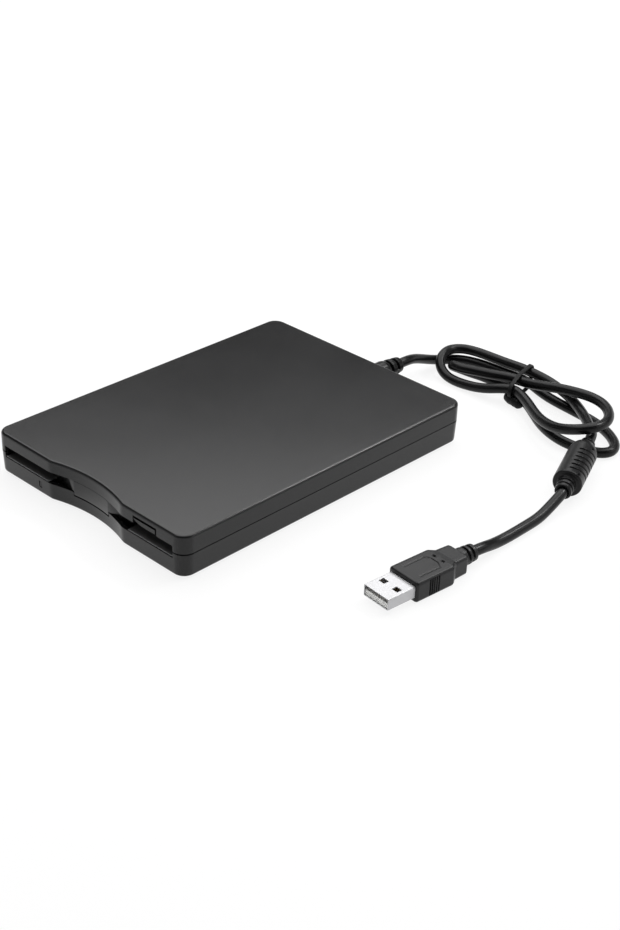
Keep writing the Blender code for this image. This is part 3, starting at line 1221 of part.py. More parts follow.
def natural_spline(points, count):
    """Evenly spaced points on the smooth curve through the given ones."""
    route = np.array(points)
    knots = np.concatenate([[0.0], np.cumsum(np.linalg.norm(np.diff(route, axis=0), axis=1))])
    gaps = np.diff(knots)
    size = len(route)
    matrix = np.eye(size)
    bends = np.zeros((size, 3))
    slopes = np.diff(route, axis=0) / gaps[:, None]
    for i in range(1, size - 1):
        matrix[i, i - 1 : i + 2] = gaps[i - 1], 2 * (gaps[i - 1] + gaps[i]), gaps[i]
        bends[i] = 6 * (slopes[i] - slopes[i - 1])
    bends = np.linalg.solve(matrix, bends)
    at = np.linspace(0.0, knots[-1], count)
    piece = np.clip(np.searchsorted(knots, at, side="right") - 1, 0, size - 2)
    gap = gaps[piece][:, None]
    after = (knots[piece + 1] - at)[:, None]
    before = (at - knots[piece])[:, None]
    curve = (bends[piece] * after**3 + bends[piece + 1] * before**3) / (6 * gap)
    curve += (route[piece] / gap - bends[piece] * gap / 6) * after
    curve += (route[piece + 1] / gap - bends[piece + 1] * gap / 6) * before
    return curve, knots


def cord_stretch(curve, start, end, samples, trim_start, trim_end):
    """Even points between two lengths along the cord. Its ends run straight for a diameter."""
    lengths = np.concatenate([[0.0], np.cumsum(np.linalg.norm(np.diff(curve, axis=0), axis=1))])
    at = np.linspace(start, end, samples)
    points = np.stack([np.interp(at, lengths, curve[:, k]) for k in range(3)], axis=1)
    for end_at, tip_at, trim in ((0, 1, trim_start), (-1, -2, trim_end)):
        along = points[end_at] - points[tip_at]
        points[end_at] -= along / np.linalg.norm(along) * trim
    return points


def tube(name, points, rings):
    """A cord stretch as a bevelled curve."""
    curve = bpy.data.curves.new(name, "CURVE")
    curve.dimensions = "3D"
    curve.bevel_depth = CORD_RADIUS
    curve.bevel_resolution = rings
    curve.use_fill_caps = True
    spline = curve.splines.new("POLY")
    spline.points.add(len(points) - 1)
    for slot, point in zip(spline.points, points):
        slot.co = (*point, 1.0)
    curve.materials.append(MATERIALS["cord_plastic"])
    obj = bpy.data.objects.new(name, curve)
    bpy.context.scene.collection.objects.link(obj)
    return obj


def own_gap(points):
    """The least gap of a tube to itself, between stretches more than a few diameters apart."""
    fine, _ = natural_spline(points, len(points) * FINE_STEPS)
    lengths = np.concatenate([[0.0], np.cumsum(np.linalg.norm(np.diff(fine, axis=0), axis=1))])
    apart = np.linalg.norm(fine[:, None] - fine[None], axis=2)
    near = np.abs(lengths[:, None] - lengths[None]) < 3 * 2 * CORD_RADIUS
    apart[near] = np.inf
    return apart.min() - 2 * CORD_RADIUS


def make_cord():
    curve, knots = natural_spline(CORD_ROUTE, len(CORD_ROUTE) * FINE_STEPS * 2)
    total = np.linalg.norm(np.diff(curve, axis=0), axis=1).sum()
    stretch = total / knots[-1]
    lead_end = knots[LEAD_END_POINT] * stretch
    run_start = knots[RUN_START_POINT] * stretch
    half = GAP / 2
    lead = cord_stretch(curve, 0.0, lead_end, LEAD_SAMPLES, 0.0, half)
    hank = cord_stretch(curve, lead_end, run_start, HANK_SAMPLES, half, half)
    run = cord_stretch(curve, run_start, total, RUN_SAMPLES, half, 0.0)
    tube("cord_lead", lead, 2)
    tube("cord_hank", hank, 1)
    tube("cord_run", run, 2)
    print(f"cord {total * 1000:.0f} mm long, its least gap to itself {own_gap(hank) * 1000:.2f} mm")
    return curve


def make_tie(curve):
    """A band drawn round the strands where they pass through its slanted plane, and its knot."""
    plane = TIE_X + (TIE_MID_Y - curve[:, 1]) * TIE_SKEW_SHARE
    strands = curve[np.abs(curve[:, 0] - plane) < TIE_HALF * 2][:, 1:]
    rings = []
    for step in range(TIE_ROUND):
        turn = math.tau * step / TIE_ROUND
        way = np.array([math.cos(turn), math.sin(turn)])
        strand = strands[np.argmax(strands @ way)]
        ring = []
        for reach, side in ((0, -1), (1, -1), (1, 1), (0, 1)):
            radius = (CORD_RADIUS + TIE_CLEAR) / math.cos(math.pi / TIE_ROUND) + TIE_THICK * reach
            y, z = strand + way * radius
            x = TIE_X + (TIE_MID_Y - y) * TIE_SKEW_SHARE + TIE_HALF * side
            ring.append((x, y, max(z, TIE_THICK * (1 - reach))))
        rings.append(ring)
    band = skin(rings, closed=True)
    start = Vector(KNOT_START)
    along = Vector(KNOT_END) - start
    profile = [(along.length * way, KNOT_RADIUS * swell) for way, swell in KNOT_SHARES]
    knot = turned(profile, start, along, SHAFT_SIDES)
    return node("cable_tie", "cord_plastic", [band, knot])


def make_bead():
    top, bottom = Vector(BEAD_TOP), Vector(BEAD_BOTTOM)
    along = bottom - top
    long = along.length
    bore = CORD_RADIUS + GAP
    cavity = BEAD_RADIUS - BEAD_WALL
    shoulder = BEAD_RADIUS - BEAD_ROUND
    chamfer = BEAD_ROUND * BEAD_CHAMFER_SHARE
    tip, root = (BEAD_COLLAR_RADIUS * share for share in BEAD_COLLAR_SHARES)
    profile = [
        (-BEAD_COLLAR_TOP, bore), (-BEAD_COLLAR_TOP, tip), (0.0, BEAD_COLLAR_RADIUS), (0.0, shoulder),
        (chamfer, BEAD_RADIUS - chamfer), (BEAD_ROUND, BEAD_RADIUS), (long - BEAD_ROUND, BEAD_RADIUS),
        (long - chamfer, BEAD_RADIUS - chamfer), (long, shoulder), (long, root),
        (long + BEAD_COLLAR_BOTTOM, BEAD_COLLAR_RADIUS), (long + BEAD_COLLAR_BOTTOM, bore),
        (long - BEAD_WALL, bore), (long - BEAD_WALL, cavity), (BEAD_WALL, cavity), (BEAD_WALL, bore),
    ]
    cover = turned(profile, top, along, HUB_SIDES, bored=True)
    node("ferrite_cover", "grip_plastic", [cover])
    start, end = BEAD_WALL + GAP, long - BEAD_WALL - GAP
    outer = cavity - GAP
    section = ((start, CORE_INNER), (start, outer), (end, outer), (end, CORE_INNER))
    core = turned(section, top, along, bored=True)
    node("ferrite_core", "ceramic", [core])


def plug_point(distance, across, z):
    """A point from the plug's own axis: along it from the shell's mouth, across it, and above it."""
    along = Vector((*PLUG_TURN, 0.0)).normalized()
    side = Vector((along.y, -along.x, 0.0))
    return Vector((*PLUG_MOUTH, PLUG_Z)) + along * distance + side * across + Vector((0.0, 0.0, z))


def plug_box(distance, across, z):
    """A box in the plug's own directions."""
    corners = [(across[i], z[j]) for i, j in ((0, 0), (1, 0), (1, 1), (0, 1))]
    return skin([[plug_point(d, a, h) for a, h in corners] for d in distance])


def make_plug():
    rings = []
    for distance, half_wide, half_tall in GRIP_STEPS:
        outline = rounded((-half_wide, half_wide), (-half_tall, half_tall), GRIP_ROUND, 3)
        rings.append([plug_point(distance, a, h) for a, h in outline])
    grip = skin(rings)
    along = Vector((*PLUG_TURN, 0.0))
    relief = turned(GRIP_RELIEF, plug_point(0.0, 0.0, 0.0), along, EYE_SIDES)
    mouth = plug_box(
        (SHELL_LONG - CUT_PAST, SHELL_LONG + SHELL_SUNK), (-SHELL_HALF - GAP, SHELL_HALF + GAP),
        (-SHELL_HALF_TALL - GAP, SHELL_HALF_TALL + GAP),
    )
    node("plug_overmould", "grip_plastic", [grip, relief], [mouth])
    inner, inner_tall = SHELL_HALF - SHELL_SHEET, SHELL_HALF_TALL - SHELL_SHEET
    shell = plug_box((0.0, SHELL_LONG + SHELL_SUNK - GAP), (-SHELL_HALF, SHELL_HALF),
                     (-SHELL_HALF_TALL, SHELL_HALF_TALL))
    cuts = [plug_box((-CUT_PAST, SHELL_LONG + SHELL_SUNK + CUT_PAST), (-inner, inner),
                     (-inner_tall, inner_tall))]
    for off in (-SHELL_WINDOW_OFF, SHELL_WINDOW_OFF):
        cuts.append(plug_box((SHELL_WINDOW_START, SHELL_WINDOW_END),
                             (off - SHELL_WINDOW_HALF, off + SHELL_WINDOW_HALF),
                             (-SHELL_HALF_TALL - CUT_PAST, SHELL_HALF_TALL + CUT_PAST)))
    node("plug_shell", "plated_shell", [shell], cuts)
    low, high = -inner_tall + GAP, TONGUE_TOP - PLUG_Z
    long = (TONGUE_SET_BACK, SHELL_LONG + SHELL_SUNK - GAP)
    shapes = [plug_box(long, (-inner + GAP, inner - GAP), (low, high))]
    for count in range(4):
        middle = (count - 1.5) * CONTACT_PITCH
        shapes.append(plug_box((2 * TONGUE_SET_BACK, long[1] - TONGUE_SET_BACK),
                               (middle - CONTACT_HALF, middle + CONTACT_HALF),
                               (low + CONTACT_RISE, high + CONTACT_RISE)))
    node("plug_tongue", "white_plastic", shapes)


clear_scene()
MATERIALS = make_materials()
make_top_cover()
make_bottom_cover()
make_feet_and_screws()
make_bezel()
make_dust_door()
make_door_pin_and_spring()
make_button()
make_light()
make_chassis()
make_lid()
make_eject_plate()
make_carrier()
make_shutter_lever()
make_eject_spring()
make_spindle()
make_carriage()
make_heads_and_arm()
make_carriage_drive()
make_boards()
make_usb_board()
make_strain_relief()
make_tie(make_cord())
make_bead()
make_plug()
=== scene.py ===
import json
import math

import bmesh
import bpy
import numpy as np
from mathutils import Matrix, Vector


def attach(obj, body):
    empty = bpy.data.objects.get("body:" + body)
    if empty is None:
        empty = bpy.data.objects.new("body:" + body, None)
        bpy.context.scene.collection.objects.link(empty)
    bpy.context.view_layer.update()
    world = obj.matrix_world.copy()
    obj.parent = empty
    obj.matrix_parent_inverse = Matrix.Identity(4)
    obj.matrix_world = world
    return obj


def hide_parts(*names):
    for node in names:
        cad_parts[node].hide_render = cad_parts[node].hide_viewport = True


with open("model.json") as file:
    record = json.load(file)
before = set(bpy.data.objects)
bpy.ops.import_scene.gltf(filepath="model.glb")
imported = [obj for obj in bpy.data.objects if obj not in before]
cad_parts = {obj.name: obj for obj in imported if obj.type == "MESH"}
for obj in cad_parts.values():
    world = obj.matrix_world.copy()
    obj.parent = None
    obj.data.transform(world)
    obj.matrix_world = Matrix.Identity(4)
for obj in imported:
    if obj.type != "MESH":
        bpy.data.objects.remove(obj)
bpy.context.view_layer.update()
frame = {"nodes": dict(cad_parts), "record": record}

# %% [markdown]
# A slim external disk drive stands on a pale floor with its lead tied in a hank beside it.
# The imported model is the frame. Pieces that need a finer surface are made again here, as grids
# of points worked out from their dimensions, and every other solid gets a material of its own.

NODES = frame["nodes"]
MM = 0.001

# %% [markdown]
# The camera stands where the photograph's did: its place, its three directions and its focal
# length were fitted to the covers' corners, the plug and the bead.

# %% Camera
WIDE, TALL = 620, 930
FOCAL_PX = 1617.48
SENSOR = 36.0


def in_scene(name, data):
    """An object for a mesh, a lamp or a camera, linked into the scene."""
    obj = bpy.data.objects.new(name, data)
    bpy.context.scene.collection.objects.link(obj)
    return obj


def look(location, turn):
    """A camera from its place and a rotation vector that turns the axes to right, down and ahead."""
    vector = Vector(turn)
    axes = Matrix.Rotation(vector.length, 3, vector.normalized())
    right, down, ahead = axes.col[0], axes.col[1], axes.col[2]
    placed = Matrix((right, -down, -ahead)).transposed().to_4x4()
    placed.translation = location
    return placed


camera_data = bpy.data.cameras.new("camera")
camera_data.sensor_width = SENSOR
camera_data.sensor_fit = "AUTO"
camera_data.lens = FOCAL_PX / TALL * SENSOR
camera_data.clip_start, camera_data.clip_end = 0.01, 20
camera = in_scene("camera", camera_data)
camera.matrix_world = look((0.38913, -0.36774, 0.30562), (-1.9608, -0.8199, 0.4365))
bpy.context.scene.camera = camera
print("frame:", WIDE, "by", TALL, "lens mm:", round(camera_data.lens, 2))

# %% [markdown]
# Every surface is a grid: rows of points along a path, columns round a section. One helper joins
# neighbours of a grid to faces, one makes a mesh of points and faces and turns it outwards, and
# one makes a finished piece of it: material, smooth shading, the body it rides on, and the packed
# solids that it takes the place of.

# %% Helpers for pieces


def mesh_of(name, points, faces):
    """A mesh from points (n, 3) in metres and faces as rows of indices, its faces turned outwards."""
    mesh = bpy.data.meshes.new(name)
    mesh.from_pydata(np.asarray(points, float).tolist(), [], [tuple(f) for f in faces])
    mesh.validate()
    turned = bmesh.new()
    turned.from_mesh(mesh)
    bmesh.ops.recalc_face_normals(turned, faces=turned.faces)
    turned.to_mesh(mesh)
    turned.free()
    return mesh


def finished(name, mesh, material, body, stands_for=(), sharp=35):
    """A piece from its mesh. Edges steeper than the angle sharp, in degrees, stay crisp."""
    mesh.name = name
    mesh.materials.clear()
    mesh.materials.append(material)
    mesh.shade_smooth()
    mesh.set_sharp_from_angle(angle=math.radians(sharp))
    obj = in_scene(name, mesh)
    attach(obj, body)
    if stands_for:
        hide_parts(*stands_for)
    return obj


def piece(name, points, faces, material, body, stands_for=(), sharp=35):
    return finished(name, mesh_of(name, points, faces), material, body, stands_for, sharp)


def grid_faces(rows, columns, close_rows=False):
    """Quads of a grid whose columns close on themselves. Its first and last rows get caps."""
    index = np.arange(rows * columns).reshape(rows, columns)
    lower = index if close_rows else index[:-1]
    upper = np.roll(index, -1, axis=0) if close_rows else index[1:]
    quads = np.stack([lower, np.roll(lower, -1, 1), np.roll(upper, -1, 1), upper], axis=-1)
    faces = quads.reshape(-1, 4).tolist()
    if not close_rows:
        faces += [index[0][::-1].tolist(), index[-1].tolist()]
    return faces


print("faces of a capped grid of 3 by 4:", len(grid_faces(3, 4)))

# %% [markdown]
# A cord needs a smooth line through a few points and a tube round it. A natural cubic gives the
# line, because it bends as an elastic strip does. The tube's directions are carried along the
# line without twist, so its columns run straight.

# %% Helpers for curves and tubes


def smooth_curve(route, count):
    """Even points on the natural cubic through a route, by chord length: its bends are zero at the ends."""
    route = np.array(route)
    knots = np.concatenate([[0.0], np.cumsum(np.linalg.norm(np.diff(route, axis=0), axis=1))])
    steps = np.diff(knots)
    size = len(route)
    matrix, bends = np.eye(size), np.zeros((size, 3))
    slopes = np.diff(route, axis=0) / steps[:, None]
    for i in range(1, size - 1):
        matrix[i, i - 1 : i + 2] = steps[i - 1], 2 * (steps[i - 1] + steps[i]), steps[i]
        bends[i] = 6 * (slopes[i] - slopes[i - 1])
    bends = np.linalg.solve(matrix, bends)
    at = np.linspace(0.0, knots[-1], count)
    k = np.clip(np.searchsorted(knots, at, side="right") - 1, 0, size - 2)
    step = steps[k][:, None]
    after, before = (knots[k + 1] - at)[:, None], (at - knots[k])[:, None]
    curve = (bends[k] * after**3 + bends[k + 1] * before**3) / (6 * step)
    curve += (route[k] / step - bends[k] * step / 6) * after
    return curve + (route[k + 1] / step - bends[k + 1] * step / 6) * before


def length_of(points):
    return float(np.linalg.norm(np.diff(points, axis=0), axis=1).sum())


def carried_frames(path):
    """Two directions square to a path at each point, carried along it without twist."""
    ahead = np.gradient(path, axis=0)
    ahead /= np.linalg.norm(ahead, axis=1)[:, None]
    side = np.cross(ahead[0], [0.0, 0.0, 1.0])
    side /= np.linalg.norm(side)
    sides = []
    for direction in ahead:
        side = side - direction * (side @ direction)
        side /= np.linalg.norm(side)
        sides.append(side)
    sides = np.array(sides)
    return ahead, sides, np.cross(ahead, sides)


def tube_points(path, radius, sides):
    """Rows of a tube: centre + radius * (cos t * side + sin t * other). Radius may change by row."""
    _, side, other = carried_frames(path)
    t = np.linspace(0, math.tau, sides, endpoint=False)
    around = side[:, None] * np.cos(t)[None, :, None] + other[:, None] * np.sin(t)[None, :, None]
    radius = np.broadcast_to(np.asarray(radius, float), (len(path),))
    return (path[:, None] + around * radius[:, None, None]).reshape(-1, 3)


print("half circle of radius 1, length:", round(length_of(np.stack(
    [np.cos(np.linspace(0, math.pi, 90)), np.sin(np.linspace(0, math.pi, 90)), np.zeros(90)], axis=1)), 3))

# %% [markdown]
# Round parts such as the relief, the bead and the plug's tail are turned: a profile of distance
# and radius goes round an axis. Moulded parts have no knife edges, so a profile's corners are
# eased first.

# %% Helpers for turned profiles


def axis_frame(direction):
    """The axis as a unit vector, and two directions square to it: level and upwards."""
    along = np.array(direction, float)
    along /= np.linalg.norm(along)
    side = np.cross(along, [0.0, 0.0, 1.0])
    side /= np.linalg.norm(side)
    return along, side, np.cross(side, along)


def turned_points(profile, start, direction, sides):
    """Rows of a turned surface: start + s * along + r * (cos t * side + sin t * up)."""
    along, side, up = axis_frame(direction)
    t = np.linspace(0, math.tau, sides, endpoint=False)
    around = side * np.cos(t)[:, None] + up * np.sin(t)[:, None]
    profile = np.asarray(profile, float)
    centres = np.asarray(start, float) + profile[:, :1] * along
    return (centres[:, None] + around[None] * profile[:, 1][:, None, None]).reshape(-1, 3)


def eased(corners, radius, steps=4, closed=False):
    """A profile with rounded corners: a (1-u)^2 + 2 c u (1-u) + b u^2, where c is the corner, and a
    and b lie on its two sides at the radius, or at 0.45 of a shorter side. Open ends stay."""
    corners = np.array(corners, float)
    before, after = np.roll(corners, 1, axis=0) - corners, np.roll(corners, -1, axis=0) - corners
    before_long, after_long = (np.linalg.norm(v, axis=1)[:, None] for v in (before, after))
    reach = np.minimum(radius, 0.45 * np.minimum(before_long, after_long))
    a = (corners + before / before_long * reach)[:, None]
    b = (corners + after / after_long * reach)[:, None]
    u = np.linspace(0, 1, steps + 1)[:, None]
    arcs = a * (1 - u) ** 2 + corners[:, None] * 2 * u * (1 - u) + b * u**2
    if closed:
        return arcs.reshape(-1, 2)
    return np.vstack([corners[:1], arcs[1:-1].reshape(-1, 2), corners[-1:]])


print("points of an eased square:", len(eased(((0, 0), (1, 0), (1, 1), (0, 1)), 0.2, closed=True)))

# %% [markdown]
# Materials are procedural. Moulded plastic has a fine grain from its mould, and its colour and
# gloss vary slowly. One shared group gives both: a height for bump, and a slow mask.

# %% Grain of moulded plastic


def group_of(name, inputs, outputs):
    """An empty node group with float or vector sockets, and its input and output nodes."""
    group = bpy.data.node_groups.new(name, "ShaderNodeTree")
    for label, kind, value in inputs:
        socket = group.interface.new_socket(label, in_out="INPUT", socket_type=kind)
        if value is not None:
            socket.default_value = value
    for label, kind in outputs:
        group.interface.new_socket(label, in_out="OUTPUT", socket_type=kind)
    return group, group.nodes.new("NodeGroupInput"), group.nodes.new("NodeGroupOutput")


def add(tree, kind, **settings):
    """A node with its settings: a name that is no property of the node is one of its sockets."""
    node = tree.nodes.new(kind)
    for key, value in settings.items():
        if hasattr(node, key):
            setattr(node, key, value)
        else:
            node.inputs[key].default_value = value
    return node


def grain_group():
    """Moulded grain: fine cells plus finer noise as height, and broad noise as a mask."""
    group, given, result = group_of(
        "moulded_grain",
        [("Vector", "NodeSocketVector", None), ("Size", "NodeSocketFloat", 0.0003)],
        [("Height", "NodeSocketFloat"), ("Mask", "NodeSocketFloat")],
    )
    links = group.links
    scale = add(group, "ShaderNodeMath", operation="DIVIDE")
    scale.inputs[0].default_value = 1.0
    links.new(given.outputs["Size"], scale.inputs[1])
    cells = add(group, "ShaderNodeTexVoronoi", feature="SMOOTH_F1", Smoothness=0.6)
    fine = add(group, "ShaderNodeTexNoise", Detail=3.0, Roughness=0.6)
    finer = add(group, "ShaderNodeMath", operation="MULTIPLY")
    finer.inputs[1].default_value = 2.3
    broad = add(group, "ShaderNodeTexNoise", Scale=38.0, Detail=4.0, Roughness=0.55)
    for texture in (cells, fine, broad):
        links.new(given.outputs["Vector"], texture.inputs["Vector"])
    links.new(scale.outputs[0], cells.inputs["Scale"])
    links.new(scale.outputs[0], finer.inputs[0])
    links.new(finer.outputs[0], fine.inputs["Scale"])
    both = add(group, "ShaderNodeMath", operation="MULTIPLY_ADD")
    both.inputs[1].default_value = 0.5
    links.new(fine.outputs["Fac"], both.inputs[0])
    links.new(cells.outputs["Distance"], both.inputs[2])
    links.new(both.outputs[0], result.inputs["Height"])
    links.new(broad.outputs["Fac"], result.inputs["Mask"])
    return group


GRAIN = grain_group()
print("grain nodes:", len(GRAIN.nodes))

# %% [markdown]
# Drawn wire and rolled sheet have fine lines along the way they were pulled. Noise that is
# stretched along one axis gives them.

# %% Lines of drawn metal


def drawn_group():
    """Drawn or brushed metal: noise stretched along one axis, as height and as a streak mask."""
    group, given, result = group_of(
        "drawn_lines",
        [("Vector", "NodeSocketVector", None), ("Stretch", "NodeSocketVector", (1.0, 1.0, 1.0))],
        [("Height", "NodeSocketFloat"), ("Mask", "NodeSocketFloat")],
    )
    links = group.links
    stretched = add(group, "ShaderNodeVectorMath", operation="MULTIPLY")
    links.new(given.outputs["Vector"], stretched.inputs[0])
    links.new(given.outputs["Stretch"], stretched.inputs[1])
    lines = add(group, "ShaderNodeTexNoise", Scale=1.0, Detail=5.0, Roughness=0.65)
    blots = add(group, "ShaderNodeTexNoise", Scale=140.0, Detail=3.0, Roughness=0.5)
    links.new(stretched.outputs[0], lines.inputs["Vector"])
    links.new(given.outputs["Vector"], blots.inputs["Vector"])
    links.new(lines.outputs["Fac"], result.inputs["Height"])
    links.new(blots.outputs["Fac"], result.inputs["Mask"])
    return group


DRAWN = drawn_group()
print("line nodes:", len(DRAWN.nodes))

# %% [markdown]
# One function makes every finish from these groups. Its numbers are what tells the real finishes
# apart: colour, roughness, size and depth of the grain, and how much of it varies.

# %% One finish


def between(links, tree, mask, low, high):
    """A float that runs from low to high as the mask does from 0.3 to 0.7."""
    spread = add(tree, "ShaderNodeMapRange")
    spread.inputs["From Min"].default_value, spread.inputs["From Max"].default_value = 0.3, 0.7
    spread.inputs["To Min"].default_value, spread.inputs["To Max"].default_value = low, high
    links.new(mask, spread.inputs["Value"])
    return spread.outputs["Result"]


def finish_of(name, colour, rough, metallic=0.0, grain=0.0003, depth=8e-6, vary=0.08, rough_vary=0.05,
              stretch=None, specular=0.5):
    """A material: colour and roughness vary with the mask, and the height drives a small bump."""
    material = bpy.data.materials.new(name)
    material.use_nodes = True
    tree = material.node_tree
    links, shader = tree.links, tree.nodes["Principled BSDF"]
    place = add(tree, "ShaderNodeTexCoord")
    group = tree.nodes.new("ShaderNodeGroup")
    if stretch is None:
        group.node_tree = GRAIN
        group.inputs["Size"].default_value = grain
    else:
        group.node_tree = DRAWN
        group.inputs["Stretch"].default_value = stretch
    links.new(place.outputs["Object"], group.inputs["Vector"])
    shade = add(tree, "ShaderNodeMix", data_type="RGBA")
    shade.inputs[6].default_value = (*[c * (1 - vary) for c in colour], 1)
    shade.inputs[7].default_value = (*[min(1, c * (1 + vary)) for c in colour], 1)
    links.new(between(links, tree, group.outputs["Mask"], 0.0, 1.0), shade.inputs[0])
    links.new(shade.outputs[2], shader.inputs["Base Color"])
    links.new(between(links, tree, group.outputs["Mask"], rough - rough_vary, rough + rough_vary),
              shader.inputs["Roughness"])
    bump = add(tree, "ShaderNodeBump", Strength=1.0, Distance=depth)
    links.new(group.outputs["Height"], bump.inputs["Height"])
    links.new(bump.outputs["Normal"], shader.inputs["Normal"])
    shader.inputs["Metallic"].default_value = metallic
    shader.inputs["Specular IOR Level"].default_value = specular
    return material


COVER = finish_of("satin_cover", (0.0105, 0.0105, 0.0108), 0.21, grain=0.00024, depth=5e-6, vary=0.06,
                  rough_vary=0.012, specular=0.3)
print("nodes in the cover's finish:", len(COVER.node_tree.nodes))

# %% [markdown]
# The covers' satin is made. The cord and the grip are softer vinyl, the tie is dull nylon, and the
# parts inside are zinc sheet, bright steel, bronze, copper and ceramic.

# %% Materials
INNER = finish_of("inner_black", (0.014, 0.014, 0.0145), 0.48, grain=0.00025, depth=6e-6, specular=0.3)
BEZEL = finish_of("bezel_grey", (0.14, 0.14, 0.142), 0.5, grain=0.00025, depth=5e-6, specular=0.3)
LENS = finish_of("smoked_lens", (0.013, 0.013, 0.014), 0.26, grain=0.0006, depth=1e-6, specular=0.25)
RUBBER = finish_of("foot_rubber", (0.018, 0.018, 0.018), 0.78, grain=0.0003, depth=1.4e-5, vary=0.15)
SCREW = finish_of("zinc_screw", (0.33, 0.33, 0.34), 0.34, 1.0, stretch=(3000, 3000, 3000), depth=3e-6)
SHEET = finish_of("zinc_sheet", (0.34, 0.345, 0.355), 0.55, 1.0, stretch=(300, 4000, 300), depth=3e-6,
                  vary=0.1, rough_vary=0.08)
STEEL = finish_of("bright_steel", (0.52, 0.52, 0.53), 0.26, 1.0, stretch=(5000, 400, 5000), depth=2e-6)
WHITE = finish_of("white_plastic", (0.8, 0.8, 0.78), 0.42, grain=0.0003, depth=5e-6, vary=0.04)
COPPER = finish_of("copper_wire", (0.60, 0.25, 0.12), 0.3, 1.0, stretch=(6000, 6000, 600), depth=2e-5)
CERAMIC = finish_of("dark_ceramic", (0.05, 0.046, 0.042), 0.3, grain=0.0002, depth=3e-6)
BRONZE = finish_of("sintered_bronze", (0.62, 0.46, 0.2), 0.36, 1.0, stretch=(2500, 2500, 800))
CORD = finish_of("cord_vinyl", (0.005, 0.005, 0.0053), 0.3, grain=0.0005, depth=4e-6, vary=0.12,
                 specular=0.2)
TIE = finish_of("tie_nylon", (0.004, 0.004, 0.0042), 0.5, grain=0.0004, depth=6e-6, vary=0.1,
                specular=0.16)
GRIP = finish_of("moulded_grip", (0.0115, 0.0115, 0.012), 0.36, grain=0.00024, depth=8e-6, vary=0.08,
                 specular=0.27)
BEAD = finish_of("bead_plastic", (0.009, 0.009, 0.0093), 0.34, grain=0.00024, depth=8e-6, vary=0.08,
                 specular=0.2)
SHELL = finish_of("nickel_shell", (0.58, 0.58, 0.59), 0.62, 1.0, stretch=(900, 3500, 900), depth=2e-6)
print("materials:", len(bpy.data.materials))

# %% [markdown]
# A circuit board is copper under a green mask. Bricks as fine as its tracks show through the
# green, and the cells of a nearly even dot pattern are its tinned pads, which alone are metal.

# %% Board


def board_finish():
    """Solder mask over copper: fine brick lines show through as tracks, and a dot grid as pads."""
    material = finish_of("solder_mask", (0.012, 0.075, 0.03), 0.32, grain=0.0006, depth=3e-6, vary=0.1)
    tree = material.node_tree
    place, shader = tree.nodes["Texture Coordinate"], tree.nodes["Principled BSDF"]
    tracks = add(tree, "ShaderNodeTexBrick", Scale=520.0)
    tracks.inputs["Color1"].default_value = (0, 0, 0, 1)
    tracks.inputs["Color2"].default_value = (0.25, 0.25, 0.25, 1)
    tracks.inputs["Mortar"].default_value = (1, 1, 1, 1)
    tracks.inputs["Mortar Size"].default_value = 0.06
    pads = add(tree, "ShaderNodeTexVoronoi", Scale=420.0, Randomness=0.25)
    pad_mask = add(tree, "ShaderNodeMath", operation="LESS_THAN")
    pad_mask.inputs[1].default_value = 0.2
    tree.links.new(place.outputs["Object"], tracks.inputs["Vector"])
    tree.links.new(place.outputs["Object"], pads.inputs["Vector"])
    tree.links.new(pads.outputs["Distance"], pad_mask.inputs[0])
    base = shader.inputs["Base Color"].links[0].from_socket
    over = add(tree, "ShaderNodeMix", data_type="RGBA")
    over.inputs[7].default_value = (0.05, 0.19, 0.07, 1)
    tree.links.new(tracks.outputs["Color"], over.inputs[0])
    tree.links.new(base, over.inputs[6])
    tinned = add(tree, "ShaderNodeMix", data_type="RGBA")
    tinned.inputs[7].default_value = (0.55, 0.56, 0.55, 1)
    tree.links.new(pad_mask.outputs[0], tinned.inputs[0])
    tree.links.new(over.outputs[2], tinned.inputs[6])
    tree.links.new(tinned.outputs[2], shader.inputs["Base Color"])
    tree.links.new(pad_mask.outputs[0], shader.inputs["Metallic"])
    return material


BOARD = board_finish()
print("nodes in the board's finish:", len(BOARD.node_tree.nodes))

# %% [markdown]
# The cord is one tube along one smooth curve: from the strain relief into a hank of two and a half
# turns that cross over each other in low humps, and then through the bead to the plug. The route
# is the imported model's own.

